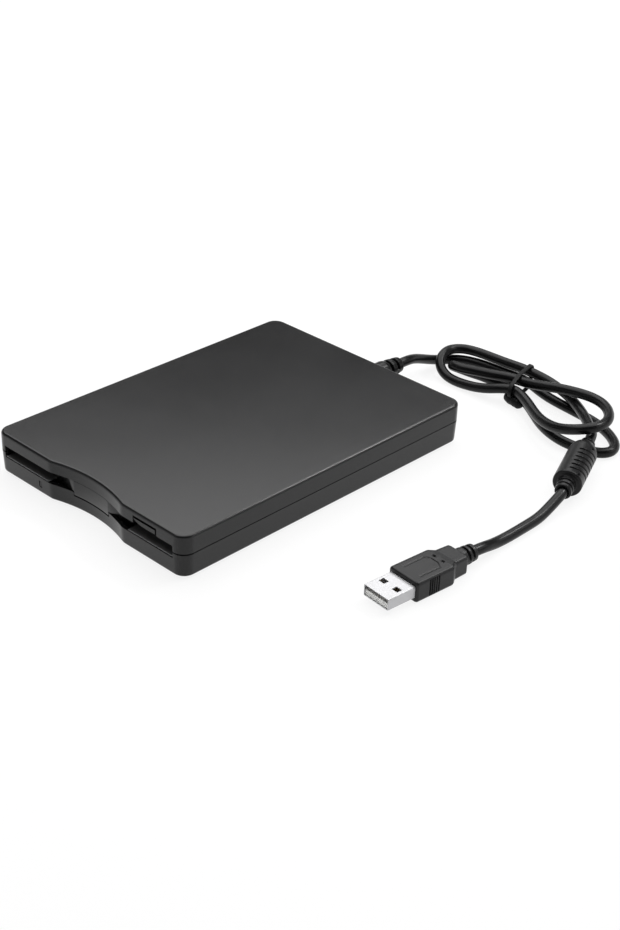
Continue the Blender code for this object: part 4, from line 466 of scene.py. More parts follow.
# %% Cord
CORD_RADIUS = 2.05 * MM
CORD_ROUTE = (
    (0.0040, 0.0883, 0.0103), (0.0039, 0.0924, 0.0102), (0.0030, 0.0990, 0.0088),
    (0.0024, 0.1060, 0.0062), (0.0025, 0.1130, 0.0036), (0.0039, 0.1190, 0.0022),
    (0.0077, 0.1233, 0.0021), (0.0126, 0.1258, 0.0021), (0.0182, 0.1272, 0.0021),
    (0.0245, 0.1278, 0.0021), (0.0305, 0.1280, 0.0023), (0.0365, 0.1276, 0.0028),
    (0.0425, 0.1265, 0.0031), (0.0486, 0.1248, 0.0028), (0.0550, 0.1235, 0.0023),
    (0.0620, 0.1226, 0.0021), (0.0720, 0.1214, 0.0021), (0.0810, 0.1198, 0.0021),
    (0.0880, 0.1172, 0.0021), (0.0940, 0.1134, 0.0021), (0.0978, 0.1090, 0.0021),
    (0.0986, 0.1046, 0.0021), (0.0966, 0.1014, 0.0021), (0.0926, 0.0994, 0.0021),
    (0.0868, 0.0982, 0.0021), (0.0800, 0.0983, 0.0021), (0.0728, 0.1002, 0.0021),
    (0.0665, 0.1032, 0.0021), (0.0603, 0.1072, 0.0022), (0.0539, 0.1112, 0.0026),
    (0.0476, 0.1143, 0.0031), (0.0420, 0.1166, 0.0031), (0.0360, 0.1179, 0.0027),
    (0.0300, 0.1184, 0.0022), (0.0240, 0.1183, 0.0021), (0.0184, 0.1173, 0.0022),
    (0.0147, 0.1156, 0.0030), (0.0132, 0.1132, 0.0043), (0.0142, 0.1112, 0.0057),
    (0.0170, 0.1103, 0.0066), (0.0205, 0.1106, 0.0069), (0.0245, 0.1120, 0.0070),
    (0.0290, 0.1135, 0.0071), (0.0340, 0.1152, 0.0073), (0.0395, 0.1168, 0.0077),
    (0.0470, 0.1172, 0.0083), (0.0556, 0.1176, 0.0097), (0.0634, 0.1188, 0.0110),
    (0.0697, 0.1200, 0.0115), (0.0751, 0.1207, 0.0117), (0.0808, 0.1201, 0.0119),
    (0.0862, 0.1176, 0.0121), (0.0907, 0.1134, 0.0122), (0.0936, 0.1082, 0.0124),
    (0.0943, 0.1028, 0.0125), (0.0927, 0.0980, 0.0124), (0.0881, 0.0952, 0.0112),
    (0.0818, 0.0948, 0.0092), (0.0744, 0.0965, 0.0076), (0.0665, 0.1002, 0.0068),
    (0.0588, 0.1052, 0.0067), (0.0522, 0.1090, 0.0068), (0.0463, 0.1109, 0.0066),
    (0.0415, 0.1096, 0.0060), (0.0365, 0.1081, 0.0046), (0.0308, 0.1073, 0.0032),
    (0.0250, 0.1069, 0.0024), (0.0194, 0.1068, 0.0021), (0.0144, 0.1071, 0.0027),
    (0.0104, 0.1083, 0.0043), (0.0076, 0.1110, 0.0060), (0.0060, 0.1150, 0.0070),
    (0.0054, 0.1200, 0.0070), (0.0078, 0.1245, 0.0068), (0.0124, 0.1268, 0.0067),
    (0.0178, 0.1276, 0.0067), (0.0240, 0.1280, 0.0067), (0.0310, 0.1280, 0.0070),
    (0.0377, 0.1276, 0.0076), (0.0445, 0.1272, 0.0077), (0.0510, 0.1271, 0.0072),
    (0.0590, 0.1253, 0.0068), (0.0670, 0.1219, 0.0067), (0.0745, 0.1173, 0.0068),
    (0.0814, 0.1120, 0.0070), (0.0872, 0.1066, 0.0075), (0.0908, 0.1028, 0.0078),
    (0.0928, 0.0992, 0.0076), (0.0958, 0.0917, 0.0072), (0.1006, 0.0796, 0.0065),
    (0.1055, 0.0675, 0.0058), (0.1076, 0.0622, 0.0054), (0.1083, 0.0580, 0.0045),
    (0.1089, 0.0525, 0.0033), (0.1095, 0.0460, 0.0023), (0.1097, 0.0380, 0.0021),
    (0.1097, 0.0284, 0.0021), (0.1095, 0.0197, 0.0026), (0.1096, 0.0140, 0.0037),
    (0.1092, 0.0092, 0.0040),
)
CORD_STEPS = 1500
CORD_SIDES = 20
cord_path = smooth_curve(CORD_ROUTE, CORD_STEPS)
cord = piece("cord", tube_points(cord_path, CORD_RADIUS, CORD_SIDES), grid_faces(CORD_STEPS, CORD_SIDES),
             CORD, "housing", ("cord_lead", "cord_hank", "cord_run"), 60)
print("cord length mm:", round(length_of(cord_path) / MM, 1))

# %% [markdown]
# The strain relief is soft vinyl, slotted so that it bends with the cord. It is a turned profile
# with two ring slots, and the slots stop at two spines, as the mould leaves them.

# %% Strain relief
RELIEF_X, RELIEF_Z = 4.0 * MM, 10.3 * MM
BACK_Y = 72 * MM
RELIEF_PROFILE = (  # distance behind the back face and radius, in mm
    (-2.8, 0.4), (-2.8, 4.3), (-1.9, 4.3), (-1.9, 2.9), (0.3, 2.9), (0.3, 4.4), (6.6, 4.4), (8.0, 4.1),
    (8.0, 2.7), (9.6, 2.7), (9.6, 3.9), (11.9, 3.75), (11.9, 2.3), (13.5, 2.3), (13.5, 3.5), (16.0, 3.2),
    (16.0, 0.4),
)
RELIEF_SIDES = 72
SPINES, SPINE_HALF = (350, 170), 11  # degrees round the axis


def slotted_points(profile, start, direction, sides, spines, half):
    """A turned surface whose ring grooves stop at upright spines: there the radius keeps the line
    that joins the groove's two rims. Spines are angles, and half is half of their width, in degrees."""
    profile = np.asarray(profile, float)
    rims, radius = profile.copy(), profile[:, 1]
    line = np.minimum(np.maximum.accumulate(radius), np.maximum.accumulate(radius[::-1])[::-1])
    outside = profile[:, 0] > 0
    outside[[0, -1]] = False
    rims[outside, 1] = np.maximum(radius, line)[outside]
    grooved = turned_points(profile, start, direction, sides)
    plain = turned_points(rims, start, direction, sides)
    angle = np.tile(np.arange(sides) * 360 / sides, len(profile))
    apart = np.min([np.abs((angle - spine + 180) % 360 - 180) for spine in spines], axis=0)
    share = np.clip((half - apart) / 4 + 0.5, 0, 1)[:, None]
    return grooved * (1 - share) + plain * share


relief_rows = eased(RELIEF_PROFILE, 0.25) * MM
strain_relief = piece(
    "strain_relief_skin",
    slotted_points(relief_rows, (RELIEF_X, BACK_Y, RELIEF_Z), (0, 1, 0), RELIEF_SIDES, SPINES,
                   SPINE_HALF),
    grid_faces(len(relief_rows), RELIEF_SIDES), CORD, "housing", ("strain_relief",), 50,
)
print("relief stands behind the drive mm:", RELIEF_PROFILE[-1][0])

# %% [markdown]
# The tie is a flat band drawn tight round the strands: its inner line is the hull of their
# sections in a slanted plane, and its section is a thin rectangle with round edges.

# %% Cable tie
TIE_X, TIE_MID_Y, TIE_SKEW = 44 * MM, 118 * MM, 0.25
TIE_HALF, TIE_THICK, TIE_CLEAR = 0.95 * MM, 0.6 * MM, 0.3 * MM
TIE_TURNS = 220
slant = TIE_X + (TIE_MID_Y - cord_path[:, 1]) * TIE_SKEW
strands = cord_path[np.abs(cord_path[:, 0] - slant) < 2 * TIE_HALF][:, 1:]
turn = np.linspace(0, math.tau, TIE_TURNS, endpoint=False)
ways = np.stack([np.cos(turn), np.sin(turn)], axis=1)
farthest = strands[np.argmax(strands @ ways.T, axis=0)]
band_section = eased(((0, -1), (1, -1), (1, 1), (0, 1)), 0.45, 5, closed=True)
band_rows = []
for reach, side in band_section:
    yz = farthest + ways * (CORD_RADIUS + TIE_CLEAR + TIE_THICK * reach)
    yz[:, 1] = np.maximum(yz[:, 1], 0.1 * MM + TIE_THICK * (1 - reach))
    x = TIE_X + (TIE_MID_Y - yz[:, 0]) * TIE_SKEW + TIE_HALF * side
    band_rows.append(np.column_stack([x, yz]))
band_points = np.stack(band_rows, axis=1).reshape(-1, 3)
tie = piece("tie_band", band_points, grid_faces(TIE_TURNS, len(band_section), True), TIE, "housing",
            ("cable_tie",), 50)
print("points of the cord inside the tie:", len(strands))

# %% [markdown]
# The tie's ends are twisted to a short thick knot that lies in front of the hank. It is a tube
# whose radius swells along its path.

# %% Knot
KNOT_ROUTE = ((42.6, 112.0, 2.5), (44.9, 111.0, 2.6), (47.4, 110.3, 2.7), (49.8, 109.8, 2.6),
              (52.2, 108.9, 2.3))
KNOT_STEPS, KNOT_SIDES = 60, 24
KNOT_AT = (0, 0.03, 0.12, 0.36, 0.5, 0.64, 0.88, 0.97, 1)
KNOT_RADII = (0.7, 1.5, 2.15, 2.45, 2.3, 2.4, 2.1, 1.4, 0.7)
knot_path = smooth_curve(np.array(KNOT_ROUTE) * MM, KNOT_STEPS)
knot_swell = np.interp(np.linspace(0, 1, KNOT_STEPS), KNOT_AT, KNOT_RADII) * MM
knot = piece("tie_knot", tube_points(knot_path, knot_swell, KNOT_SIDES), grid_faces(KNOT_STEPS, KNOT_SIDES),
             TIE, "housing", sharp=60)
print("knot length mm:", round(length_of(knot_path) / MM, 1))

# %% [markdown]
# The bead's cover is turned round its axis: collars with ring lines, round shoulders, and six
# slanted grooves on its upper right side. A groove is a smooth dip of the radius.

# %% Ferrite bead
BEAD_TOP = np.array((95.8, 91.7, 7.2)) * MM
BEAD_BOTTOM = np.array((105.5, 67.5, 5.8)) * MM
BEAD_RADIUS, BORE = 5.6, 2.35
BEAD_SIDES, BEAD_STEPS = 144, 150
GROOVE_STARTS = (9.0, 11.8, 14.6, 17.4, 20.2, 23.0)
GROOVE_LEAN, GROOVE_DEEP, GROOVE_HALF = -3.0, 0.85 * MM, 0.36
DOTS = ((5.2, 136), (24.6, 132))  # distance in mm and degrees round the axis
bead_long = float(np.linalg.norm(BEAD_BOTTOM - BEAD_TOP)) / MM
bead_outside = eased((
    (-4.2, 2.4), (-4.2, 2.85), (-2.9, 2.95), (-2.9, 2.6), (-2.4, 2.6), (-2.4, 3.05), (-1.4, 3.1), (-1.4, 2.75),
    (-0.9, 2.75), (-0.9, 3.2), (0.7, 3.3), (0.8, 4.7), (3.4, 5.6), (bead_long, 5.6), (bead_long, 3.6),
    (bead_long + 1.5, 3.5), (bead_long + 1.5, 2.95), (bead_long + 2.2, 2.95), (bead_long + 2.2, 3.4),
    (bead_long + 3.6, 3.3), (bead_long + 3.6, 2.8), (bead_long + 4.3, 2.8), (bead_long + 4.3, 3.25),
    (bead_long + 5.8, 3.15), (bead_long + 5.8, 2.4),
), 0.9, 6)
wide_rows = np.flatnonzero(bead_outside[:, 1] > BEAD_RADIUS - 0.01)
start, end = wide_rows[0], wide_rows[-1]
body_rows = np.column_stack([np.linspace(bead_outside[start, 0], bead_outside[end, 0], BEAD_STEPS),
                             np.full(BEAD_STEPS, BEAD_RADIUS)])
bead_hollow = ((bead_long + 5.8, BORE), (bead_long - 1.1, BORE), (bead_long - 1.1, 4.5), (1.1, 4.5),
               (1.1, BORE), (-4.2, BORE))
bead_rows = np.vstack([bead_outside[:start], body_rows, bead_outside[end + 1 :], bead_hollow])
bead_points = turned_points(bead_rows * MM, BEAD_TOP, BEAD_BOTTOM - BEAD_TOP, BEAD_SIDES)
_, side, up = axis_frame(BEAD_BOTTOM - BEAD_TOP)
angle = np.degrees(np.tile(np.linspace(0, math.tau, BEAD_SIDES, endpoint=False), len(bead_rows)))
distance = np.repeat(bead_rows[:, 0], BEAD_SIDES)
outer = np.repeat(bead_rows[:, 1] > 5.2, BEAD_SIDES)
dip = np.zeros(len(angle))
lean = GROOVE_LEAN * np.clip((angle - 90) / 100, 0, 1) ** 1.4
fade = np.clip((angle - 84) / 9, 0, 1) * np.clip((194 - angle) / 9, 0, 1)
for first in GROOVE_STARTS:
    line = first + lean
    dip = np.maximum(dip, np.exp(-(((distance - line) / GROOVE_HALF) ** 4)) * fade)
for dot_at, dot_angle in DOTS:
    across = np.radians(angle - dot_angle) * BEAD_RADIUS
    dip = np.maximum(dip, np.exp(-((((distance - dot_at) ** 2 + across**2) / 0.42) ** 3)))
radial = side * np.cos(np.radians(angle))[:, None] + up * np.sin(np.radians(angle))[:, None]
bead_points -= radial * (dip * outer * GROOVE_DEEP)[:, None]
bead = piece("bead_cover", bead_points, grid_faces(len(bead_rows), BEAD_SIDES, True), BEAD, "housing",
             ("ferrite_cover",), 40)
print("bead rows:", len(bead_rows), "deepest groove mm:", round(float(dip.max() * GROOVE_DEEP / MM), 2))

# %% [markdown]
# The plug lies at a slight angle on the floor, so its pieces are made in its own directions: along
# it, across it and up. Its sections are rectangles with round corners.

# %% Plug directions and sections
PLUG_MOUTH = np.array((104.9, -35.4, 4.0)) * MM
PLUG_ALONG = np.array((0.096, 0.995, 0.0))
PLUG_ALONG /= np.linalg.norm(PLUG_ALONG)
PLUG_SIDE = np.array((PLUG_ALONG[1], -PLUG_ALONG[0], 0.0))
UP = np.array((0.0, 0.0, 1.0))


def plug_place(distance, across, height):
    """Points in the plug's own directions, in mm from the middle of the shell's mouth."""
    distance, across, height = (np.asarray(v, float)[..., None] * MM for v in (distance, across, height))
    return PLUG_MOUTH + distance * PLUG_ALONG + across * PLUG_SIDE + height * UP


def rounded_section(half_wide, half_tall, radius, per_side=26, per_corner=7):
    """A rectangle with round corners, from its right side round to the left: each corner's arc is its
    centre + radius * (cos t, sin t), and the straight line to the next arc is divided evenly."""
    centres = np.array(((1, 1), (-1, 1), (-1, -1), (1, -1))) * (half_wide - radius, half_tall - radius)
    t = np.radians(90 * np.arange(4)[:, None] + np.linspace(0, 90, per_corner))
    arcs = centres[:, None] + radius * np.stack([np.cos(t), np.sin(t)], axis=-1)
    last, following = arcs[:, -1:], np.roll(arcs[:, :1], -1, axis=0)
    lines = last + (following - last) * np.linspace(0, 1, per_side)[1:-1, None]
    return np.concatenate([arcs, lines], axis=1).reshape(-1, 2)


print("points round a section:", len(rounded_section(7.0, 4.0, 1.3)))

# %% [markdown]
# The plug's grip is a loft of such sections. Ribs on both sides, a sunk line round the panel on
# top and two dots are dips of that surface.

# %% Plug grip
GRIP_STATIONS = np.array((  # distance, half width, half height, corner radius in mm
    (12.0, 0.5, 0.3, 0.2), (12.0, 6.45, 3.5, 1.0), (12.25, 6.8, 3.82, 1.2), (12.7, 7.0, 4.0, 1.3),
    (14.5, 7.0, 4.0, 1.3), (28.7, 6.96, 4.0, 1.3), (29.2, 6.8, 3.97, 1.3), (30.9, 5.6, 3.8, 1.3),
    (31.4, 5.3, 3.75, 1.2), (37.0, 5.0, 3.65, 1.1), (37.5, 4.6, 3.4, 1.2), (37.5, 0.5, 0.3, 0.2),
))
RIBS = (18.0, 19.0, 20.0, 21.0, 22.0)
PANEL_HALF, PANEL_FROM, PANEL_TO, DOTS_AT = 3.9, 15.4, 26.2, (28.1, 2.1)
PANEL_DEEP, DOT_DEEP, RIB_DEEP = 0.34, 0.9, 0.75


def line_dip(value, at, half):
    """A dip across a line: 1 on it, and exp(-(distance / half)^4) away from it."""
    return np.exp(-(((value - at) / half) ** 4))


inside = np.arange(12.3, 37.4, 0.14)
walls = GRIP_STATIONS[1:-1]
between_ends = np.column_stack([inside, *(np.interp(inside, walls[:, 0], walls[:, k]) for k in (1, 2, 3))])
grip_rows = []
for s, half_wide, half_tall, radius in np.vstack([GRIP_STATIONS[:2], between_ends, GRIP_STATIONS[-2:]]):
    section = rounded_section(half_wide, half_tall, radius)
    t, z = section[:, 0].copy(), section[:, 1].copy()
    if 12.2 < s < 37.3:
        on_top = (z > half_tall - 0.05) & (np.abs(t) < half_wide - radius + 0.1)
        on_side = np.abs(t) > half_wide - 0.05
        corner = max(0.0, s - 24.6)
        half_panel = PANEL_HALF - corner**2 * 0.9 if s < PANEL_TO else 0.0
        panel = line_dip(np.abs(t), half_panel, 0.2) * (PANEL_FROM < s < PANEL_TO)
        panel = np.maximum(panel, line_dip(s, PANEL_TO, 0.18) * (np.abs(t) < 1.9))
        dots = np.exp(-((((s - DOTS_AT[0]) ** 2 + (np.abs(t) - DOTS_AT[1]) ** 2) / 0.28) ** 3))
        ribs = max(line_dip(s, at, 0.24) for at in RIBS)
        z = z - on_top * (PANEL_DEEP * panel + DOT_DEEP * dots)
        t = t - np.sign(t) * on_side * (np.abs(z) < 3.1) * RIB_DEEP * ribs
    grip_rows.append(plug_place(np.full(len(t), s), t, z))
grip = piece("plug_grip", np.concatenate(grip_rows), grid_faces(len(grip_rows), len(grip_rows[0])), GRIP,
             "housing", ("plug_overmould",), 40)
print("grip rows:", len(grip_rows), "points round it:", len(grip_rows[0]))

# %% [markdown]
# The grip ends in a slotted tail, made as the strain relief is.

# %% Plug tail
TAIL_SIDES = 72
tail_rows = eased((
    (36.9, 0.4), (36.9, 3.5), (38.7, 3.55), (39.7, 3.5), (39.7, 2.4), (40.8, 2.4), (40.8, 3.4), (41.9, 3.35),
    (41.9, 2.3), (43.0, 2.3), (43.0, 3.2), (44.5, 3.1), (44.5, 0.4),
), 0.2) * MM
tail = piece("plug_tail", slotted_points(tail_rows, PLUG_MOUTH, PLUG_ALONG, TAIL_SIDES, SPINES, SPINE_HALF),
             grid_faces(len(tail_rows), TAIL_SIDES), GRIP, "housing", sharp=50)
print("tail rows:", len(tail_rows))

# %% [markdown]
# Openings are cut with exact Booleans, because a grid would need a seam along each of them.
# Scratch solids are made of grids too, join or cut the base, and are removed. A narrow bevel
# then breaks the hard edges, as a mould or a press leaves them.

# %% Helpers for cut pieces


def solid_of(name, rows, columns, close_rows=False):
    """A scratch object from a grid of rows."""
    return in_scene(name, mesh_of(name, np.concatenate(rows), grid_faces(len(rows), columns, close_rows)))


def carved(base, cutters, joined=()):
    """The base with other solids joined on and cutters taken away, as one new mesh."""
    for operation, others in (("UNION", joined), ("DIFFERENCE", cutters)):
        for other in others:
            step = base.modifiers.new(operation.title(), "BOOLEAN")
            step.operation, step.solver, step.object = operation, "EXACT", other
    bpy.context.view_layer.update()
    mesh = bpy.data.meshes.new_from_object(base.evaluated_get(bpy.context.evaluated_depsgraph_get()))
    for scratch in (base, *cutters, *joined):
        bpy.data.objects.remove(scratch, do_unlink=True)
    return mesh


def soften(obj, width, segments=2, angle=40):
    """Breaks an object's hard edges with a narrow round bevel."""
    edge = obj.modifiers.new("broken_edges", "BEVEL")
    edge.width, edge.segments = width, segments
    edge.limit_method, edge.angle_limit = "ANGLE", math.radians(angle)
    edge.use_clamp_overlap = True
    edge.miter_outer = "MITER_ARC"
    obj.modifiers.new("even_normals", "WEIGHTED_NORMAL").keep_sharp = True
    return obj


CORNERS = ((0, 0), (1, 0), (1, 1), (0, 1))


def plug_block(distance, across, height):
    """A block in the plug's directions, as a scratch solid, from three pairs of limits in mm."""
    rows = [plug_place(np.full(4, d), [across[i] for i, _ in CORNERS], [height[j] for _, j in CORNERS])
            for d in distance]
    return solid_of("block", rows, len(CORNERS))


# %% [markdown]
# The plated shell is a folded tube: a rounded section run along the plug, thick as its sheet,
# with two windows in the top and two below, a fold line underneath and a rolled mouth.

# %% Plug shell
SHELL_HALF, SHELL_HALF_TALL, SHELL_SHEET = 6.0, 2.25, 0.4
SHELL_LONG, SHELL_SUNK, WINDOW_HALF = 12.0, 2.7, 1.35
WINDOWS = ((5.1, 7.4, 3.2), (5.1, 7.4, -3.2))  # from, to, off the middle
shell_rows = []
for sheet, corner, lips in (
    (0.0, 0.55, ((0.0, -0.12), (0.1, -0.04), (0.3, 0.0), (SHELL_LONG + SHELL_SUNK, 0.0))),
    (SHELL_SHEET, 0.3, ((SHELL_LONG + SHELL_SUNK, 0.0), (0.3, 0.0), (0.1, 0.06), (0.0, 0.14))),
):
    for s, grow in lips:
        ring = rounded_section(SHELL_HALF - sheet + grow, SHELL_HALF_TALL - sheet + grow, corner, 2, 8)
        shell_rows.append(plug_place(np.full(len(ring), s), ring[:, 0], ring[:, 1]))
window_cuts = [plug_block((a, b), (off - WINDOW_HALF, off + WINDOW_HALF), (-3, 3)) for a, b, off in WINDOWS]
window_cuts.append(plug_block((-0.5, SHELL_LONG), (-0.07, 0.07), (-3, -2.1)))
shell = finished(
    "shell_tube", carved(solid_of("shell", shell_rows, len(shell_rows[0]), True), window_cuts), SHELL,
    "housing", ("plug_shell",),
)
soften(shell, 0.08 * MM)
print("shell wide and tall mm:", 2 * SHELL_HALF, 2 * SHELL_HALF_TALL)

# %% [markdown]
# Inside the shell lies a white tongue with four channels, and in each a sprung bronze strip that
# rises where it meets its partner.

# %% Tongue and contacts
TONGUE_LOW, TONGUE_HIGH = -1.78, 0.3
CONTACTS, CHANNEL_HALF, STRIP_HALF = (-3.6, -1.2, 1.2, 3.6), 0.55, 0.46
tongue = finished(
    "tongue_block",
    carved(plug_block((0.35, 14.4), (-5.5, 5.5), (TONGUE_LOW, TONGUE_HIGH)),
           [plug_block((1.7, 9.5), (x - CHANNEL_HALF, x + CHANNEL_HALF), (TONGUE_HIGH - 0.3, TONGUE_HIGH + 1))
            for x in CONTACTS]),
    WHITE, "housing", ("plug_tongue",),
)
soften(tongue, 0.12 * MM)
strip_s = np.linspace(1.9, 14.2, 40)
lift = TONGUE_HIGH - 0.12 + 0.16 * np.exp(-(((strip_s - 8.6) / 1.6) ** 2)) - 0.15 * (strip_s < 2.1)
strip_wide = STRIP_HALF * np.array((-1, -0.8, 0.8, 1, 1, 0.8, -0.8, -1))
strip_tall = 0.06 * np.array((-0.6, -1, -1, -0.6, 0.6, 1, 1, 0.6))
for number, x in enumerate(CONTACTS):
    strip_rows = [plug_place(np.full(8, s), x + strip_wide, z + strip_tall) for s, z in zip(strip_s, lift)]
    piece(f"contact_{number}", np.concatenate(strip_rows), grid_faces(len(strip_s), 8), BRONZE, "housing")
print("contacts:", len(CONTACTS))

# %% [markdown]
# Everything that rides on the cord is made now. How far the cord and its plug reach towards the front is
# printed.

# %% Cord's facts
print("cord and its plug reach y mm:", round(float(PLUG_MOUTH[1]) / MM, 1))

# %% [markdown]
# The covers are stacks of one outline: four round corners and the finger recess between two
# fillets, moved inwards by an inset at each height. The top edge is a quarter circle.

# %% Cover outline
HALF_WIDE, HALF_LONG = 51.5, 72.0
CORNER, RECESS_DEPTH, RECESS_HALF, RECESS_FILLET = 5.0, 3.3, 21.0, 8.0
WALL, SKIRT, GAP = 1.6, 0.65, 0.3
BASE_Z, TOP_Z, PARTING_Z, FLOOR_Z, CEILING_Z = 0.8, 17.2, 9.85, 2.25, 15.6
TOP_ROUND, BOTTOM_ROUND, DRAFT = 1.1, 1.0, 0.4


def arc(centre, radius, start, end, steps):
    """Points centre + radius * (cos t, sin t), with t from start to end."""
    t = np.linspace(start, end, steps + 1)
    return np.column_stack([centre[0] + radius * np.cos(t), centre[1] + radius * np.sin(t)])


def cover_outline(inset):
    """The outline from above, in mm: arcs of radius less the inset, and the hollow of radius plus it."""
    inner = RECESS_FILLET - RECESS_DEPTH
    hollow = (RECESS_HALF**2 + inner**2 - RECESS_FILLET**2) / (2 * RECESS_DEPTH)
    hollow_y = -HALF_LONG + RECESS_DEPTH - hollow
    half = math.asin(RECESS_HALF / (hollow + RECESS_FILLET))
    quarter = math.pi / 2
    corner, fillet = CORNER - inset, RECESS_FILLET - inset
    side, end, fillet_y = HALF_WIDE - CORNER, HALF_LONG - CORNER, -HALF_LONG + RECESS_FILLET
    return np.vstack([
        arc((-side, -end), corner, 2 * quarter, 3 * quarter, 12),
        arc((-RECESS_HALF, fillet_y), fillet, -quarter, -quarter + half, 10),
        arc((0.0, hollow_y), hollow + inset, quarter + half, quarter - half, 44)[1:-1],
        arc((RECESS_HALF, fillet_y), fillet, -quarter - half, -quarter, 10),
        arc((side, -end), corner, -quarter, 0.0, 12),
        arc((side, end), corner, 0.0, quarter, 12),
        arc((-side, end), corner, quarter, 2 * quarter, 12),
    ])


print("points of the outline:", len(cover_outline(0.0)))

# %% [markdown]
# A cover's body is a stack of outlines, and what is cut from it are blocks and drums. The slot, the
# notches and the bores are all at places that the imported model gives.

# %% Stacks, blocks and drums


def cover_stack(levels):
    """A scratch solid: the outline at each pair of inset and height, in mm, from level to level."""
    rows = []
    for inset, z in levels:
        outline = cover_outline(inset)
        rows.append(np.column_stack([outline, np.full(len(outline), z)]) * MM)
    return solid_of("stack", rows, len(rows[0]))


def block(x, y, z):
    """A scratch block from three pairs of limits in mm."""
    rows = [np.array([(x[i], y[j], h) for i, j in CORNERS]) * MM for h in z]
    return solid_of("block", rows, len(CORNERS))


def drum(centre, radius, z, sides=40):
    """A scratch round solid from its centre, radius and two heights in mm."""
    ring = arc(centre, radius, 0, math.tau, sides)[:-1]
    return solid_of("drum", [np.column_stack([ring, np.full(sides, h)]) * MM for h in z], sides)


def relief_hole():
    """A scratch round solid through the back wall, where the relief passes."""
    x, z = arc((RELIEF_X / MM, RELIEF_Z / MM), 3.2, 0, math.tau, 48)[:-1].T
    return solid_of("hole", [np.column_stack([x, np.full(48, y), z]) * MM for y in (69.0, 73.0)], 48)


CASE_SCREWS = ((-47.45, -67.95), (47.45, -67.95), (-44.0, 64.0), (44.0, 64.0))
DRIVE_SCREWS = ((-44.2, -61.5), (44.2, -61.5), (-44.2, 52.5), (44.2, 52.5))
FEET = ((-40.0, -58.0), (40.0, -58.0), (-40.0, 58.0), (40.0, 58.0))
OPEN_Y, SLOT = (-73, -66.3), ((-46.2, 46.2), (7.6, 12.4))
quarter_turn = np.radians(np.linspace(0, 90, 7))
SCREW_BORE = 0.9
print("slot wide mm:", SLOT[0][1] - SLOT[0][0])

# %% [markdown]
# The top cover carries the skirt that overlaps the lower one, the slot's upper half, the notch for
# the button and the room for the door. Four bosses take the case's screws, and two ribs stiffen it.

# %% Top cover
top_levels = [(WALL, CEILING_Z), (WALL, 11.35), (SKIRT, 11.35), (SKIRT, 10.0), (0.12, 10.0), (0.0, 10.12)]
top_levels += [
    (TOP_ROUND * (1 - math.cos(a)), TOP_Z - TOP_ROUND + TOP_ROUND * math.sin(a)) for a in quarter_turn
]
top_cuts = [
    block(SLOT[0], OPEN_Y, SLOT[1]), block((-14.2, 14.2), (-68.25, -66.3), (PARTING_Z, 14.35)),
    block((26.0, 38.1), OPEN_Y, (PARTING_Z, 15.3)), relief_hole(),
]
top_joins = [drum(at, 1.35, (4.2, 15.9)) for at in CASE_SCREWS]
top_joins += [block((x - 0.5, x + 0.5), (-50, 50), (15.3, 15.9)) for x in (-30, 30)]
top_cuts += [drum(at, SCREW_BORE, (3.2, 10.2), 24) for at in CASE_SCREWS]
top = finished("top_skin", carved(cover_stack(top_levels), top_cuts, top_joins), COVER, "housing",
               ("top_cover",), 30)
soften(top, 0.1 * MM, 2, 50)
print("top cover faces:", len(top.data.polygons))

# %% [markdown]
# The bottom cover leans inwards a little, so that it leaves its mould. It has the slot's lower
# half with the shallow notch, the light's window, four wells for the feet and holes for screws.

# %% Bottom cover
bottom_levels = [(WALL + DRAFT, FLOOR_Z), (WALL, 11.05), (SKIRT + GAP, 11.05), (SKIRT + GAP, 9.7),
                 (0.12, 9.7), (0.015, 9.58)]
bottom_levels += [
    (DRAFT + BOTTOM_ROUND * (1 - math.cos(a)), BASE_Z + BOTTOM_ROUND * (1 - math.sin(a))) for a in quarter_turn
]
bottom_cuts = [
    block(SLOT[0], OPEN_Y, SLOT[1]), block((-9.75, 9.75), OPEN_Y, (5.9, 12.4)),
    block((-26.8, -25.2), OPEN_Y, (3.4, 6.0)), relief_hole(),
]
bottom_cuts += [drum(at, 4.3, (-0.2, 1.4), 64) for at in FEET]
bottom_cuts += [drum(at, 1.7, (-0.2, 2.7)) for at in CASE_SCREWS]
bottom_cuts += [drum(at, SCREW_BORE, (BASE_Z, PARTING_Z), 24) for at in CASE_SCREWS]
bottom_cuts += [drum(at, SCREW_BORE, (1.25, PARTING_Z), 24) for at in DRIVE_SCREWS]
bottom_joins = [drum(at, 2.3, (1.95, 3.9)) for at in CASE_SCREWS]
bottom = finished("bottom_skin", carved(cover_stack(bottom_levels), bottom_cuts, bottom_joins), COVER,
                  "housing", ("bottom_cover",), 30)
soften(bottom, 0.1 * MM, 2, 50)
print("bottom cover faces:", len(bottom.data.polygons))

# %% [markdown]
# The dust door is a thin plate that swells forwards in the middle. Its face follows the finger
# recess between the two steps of the notch, and falls back to the plate on both sides.

# %% Dust door
DOOR_BACK, DOOR_PLATE, DOOR_MIDDLE, DOOR_BLEND, DOOR_HALF = -67.4, -67.95, 9.45, 20.6, 45.3
DOOR_HIGH, DOOR_BEVEL = 12.3, 0.25
# each span: near end, far end, lower edge, number of sections
DOOR_SPANS = ((0.0, DOOR_MIDDLE, 6.4, 16), (DOOR_MIDDLE, 15.0, 7.95, 14), (15.0, DOOR_BLEND, 6.6, 14),
              (DOOR_BLEND, DOOR_HALF, 8.6, 6))
RECESS_ROUND = (RECESS_HALF**2 + (RECESS_FILLET - RECESS_DEPTH) ** 2 - RECESS_FILLET**2) / (2 * RECESS_DEPTH)


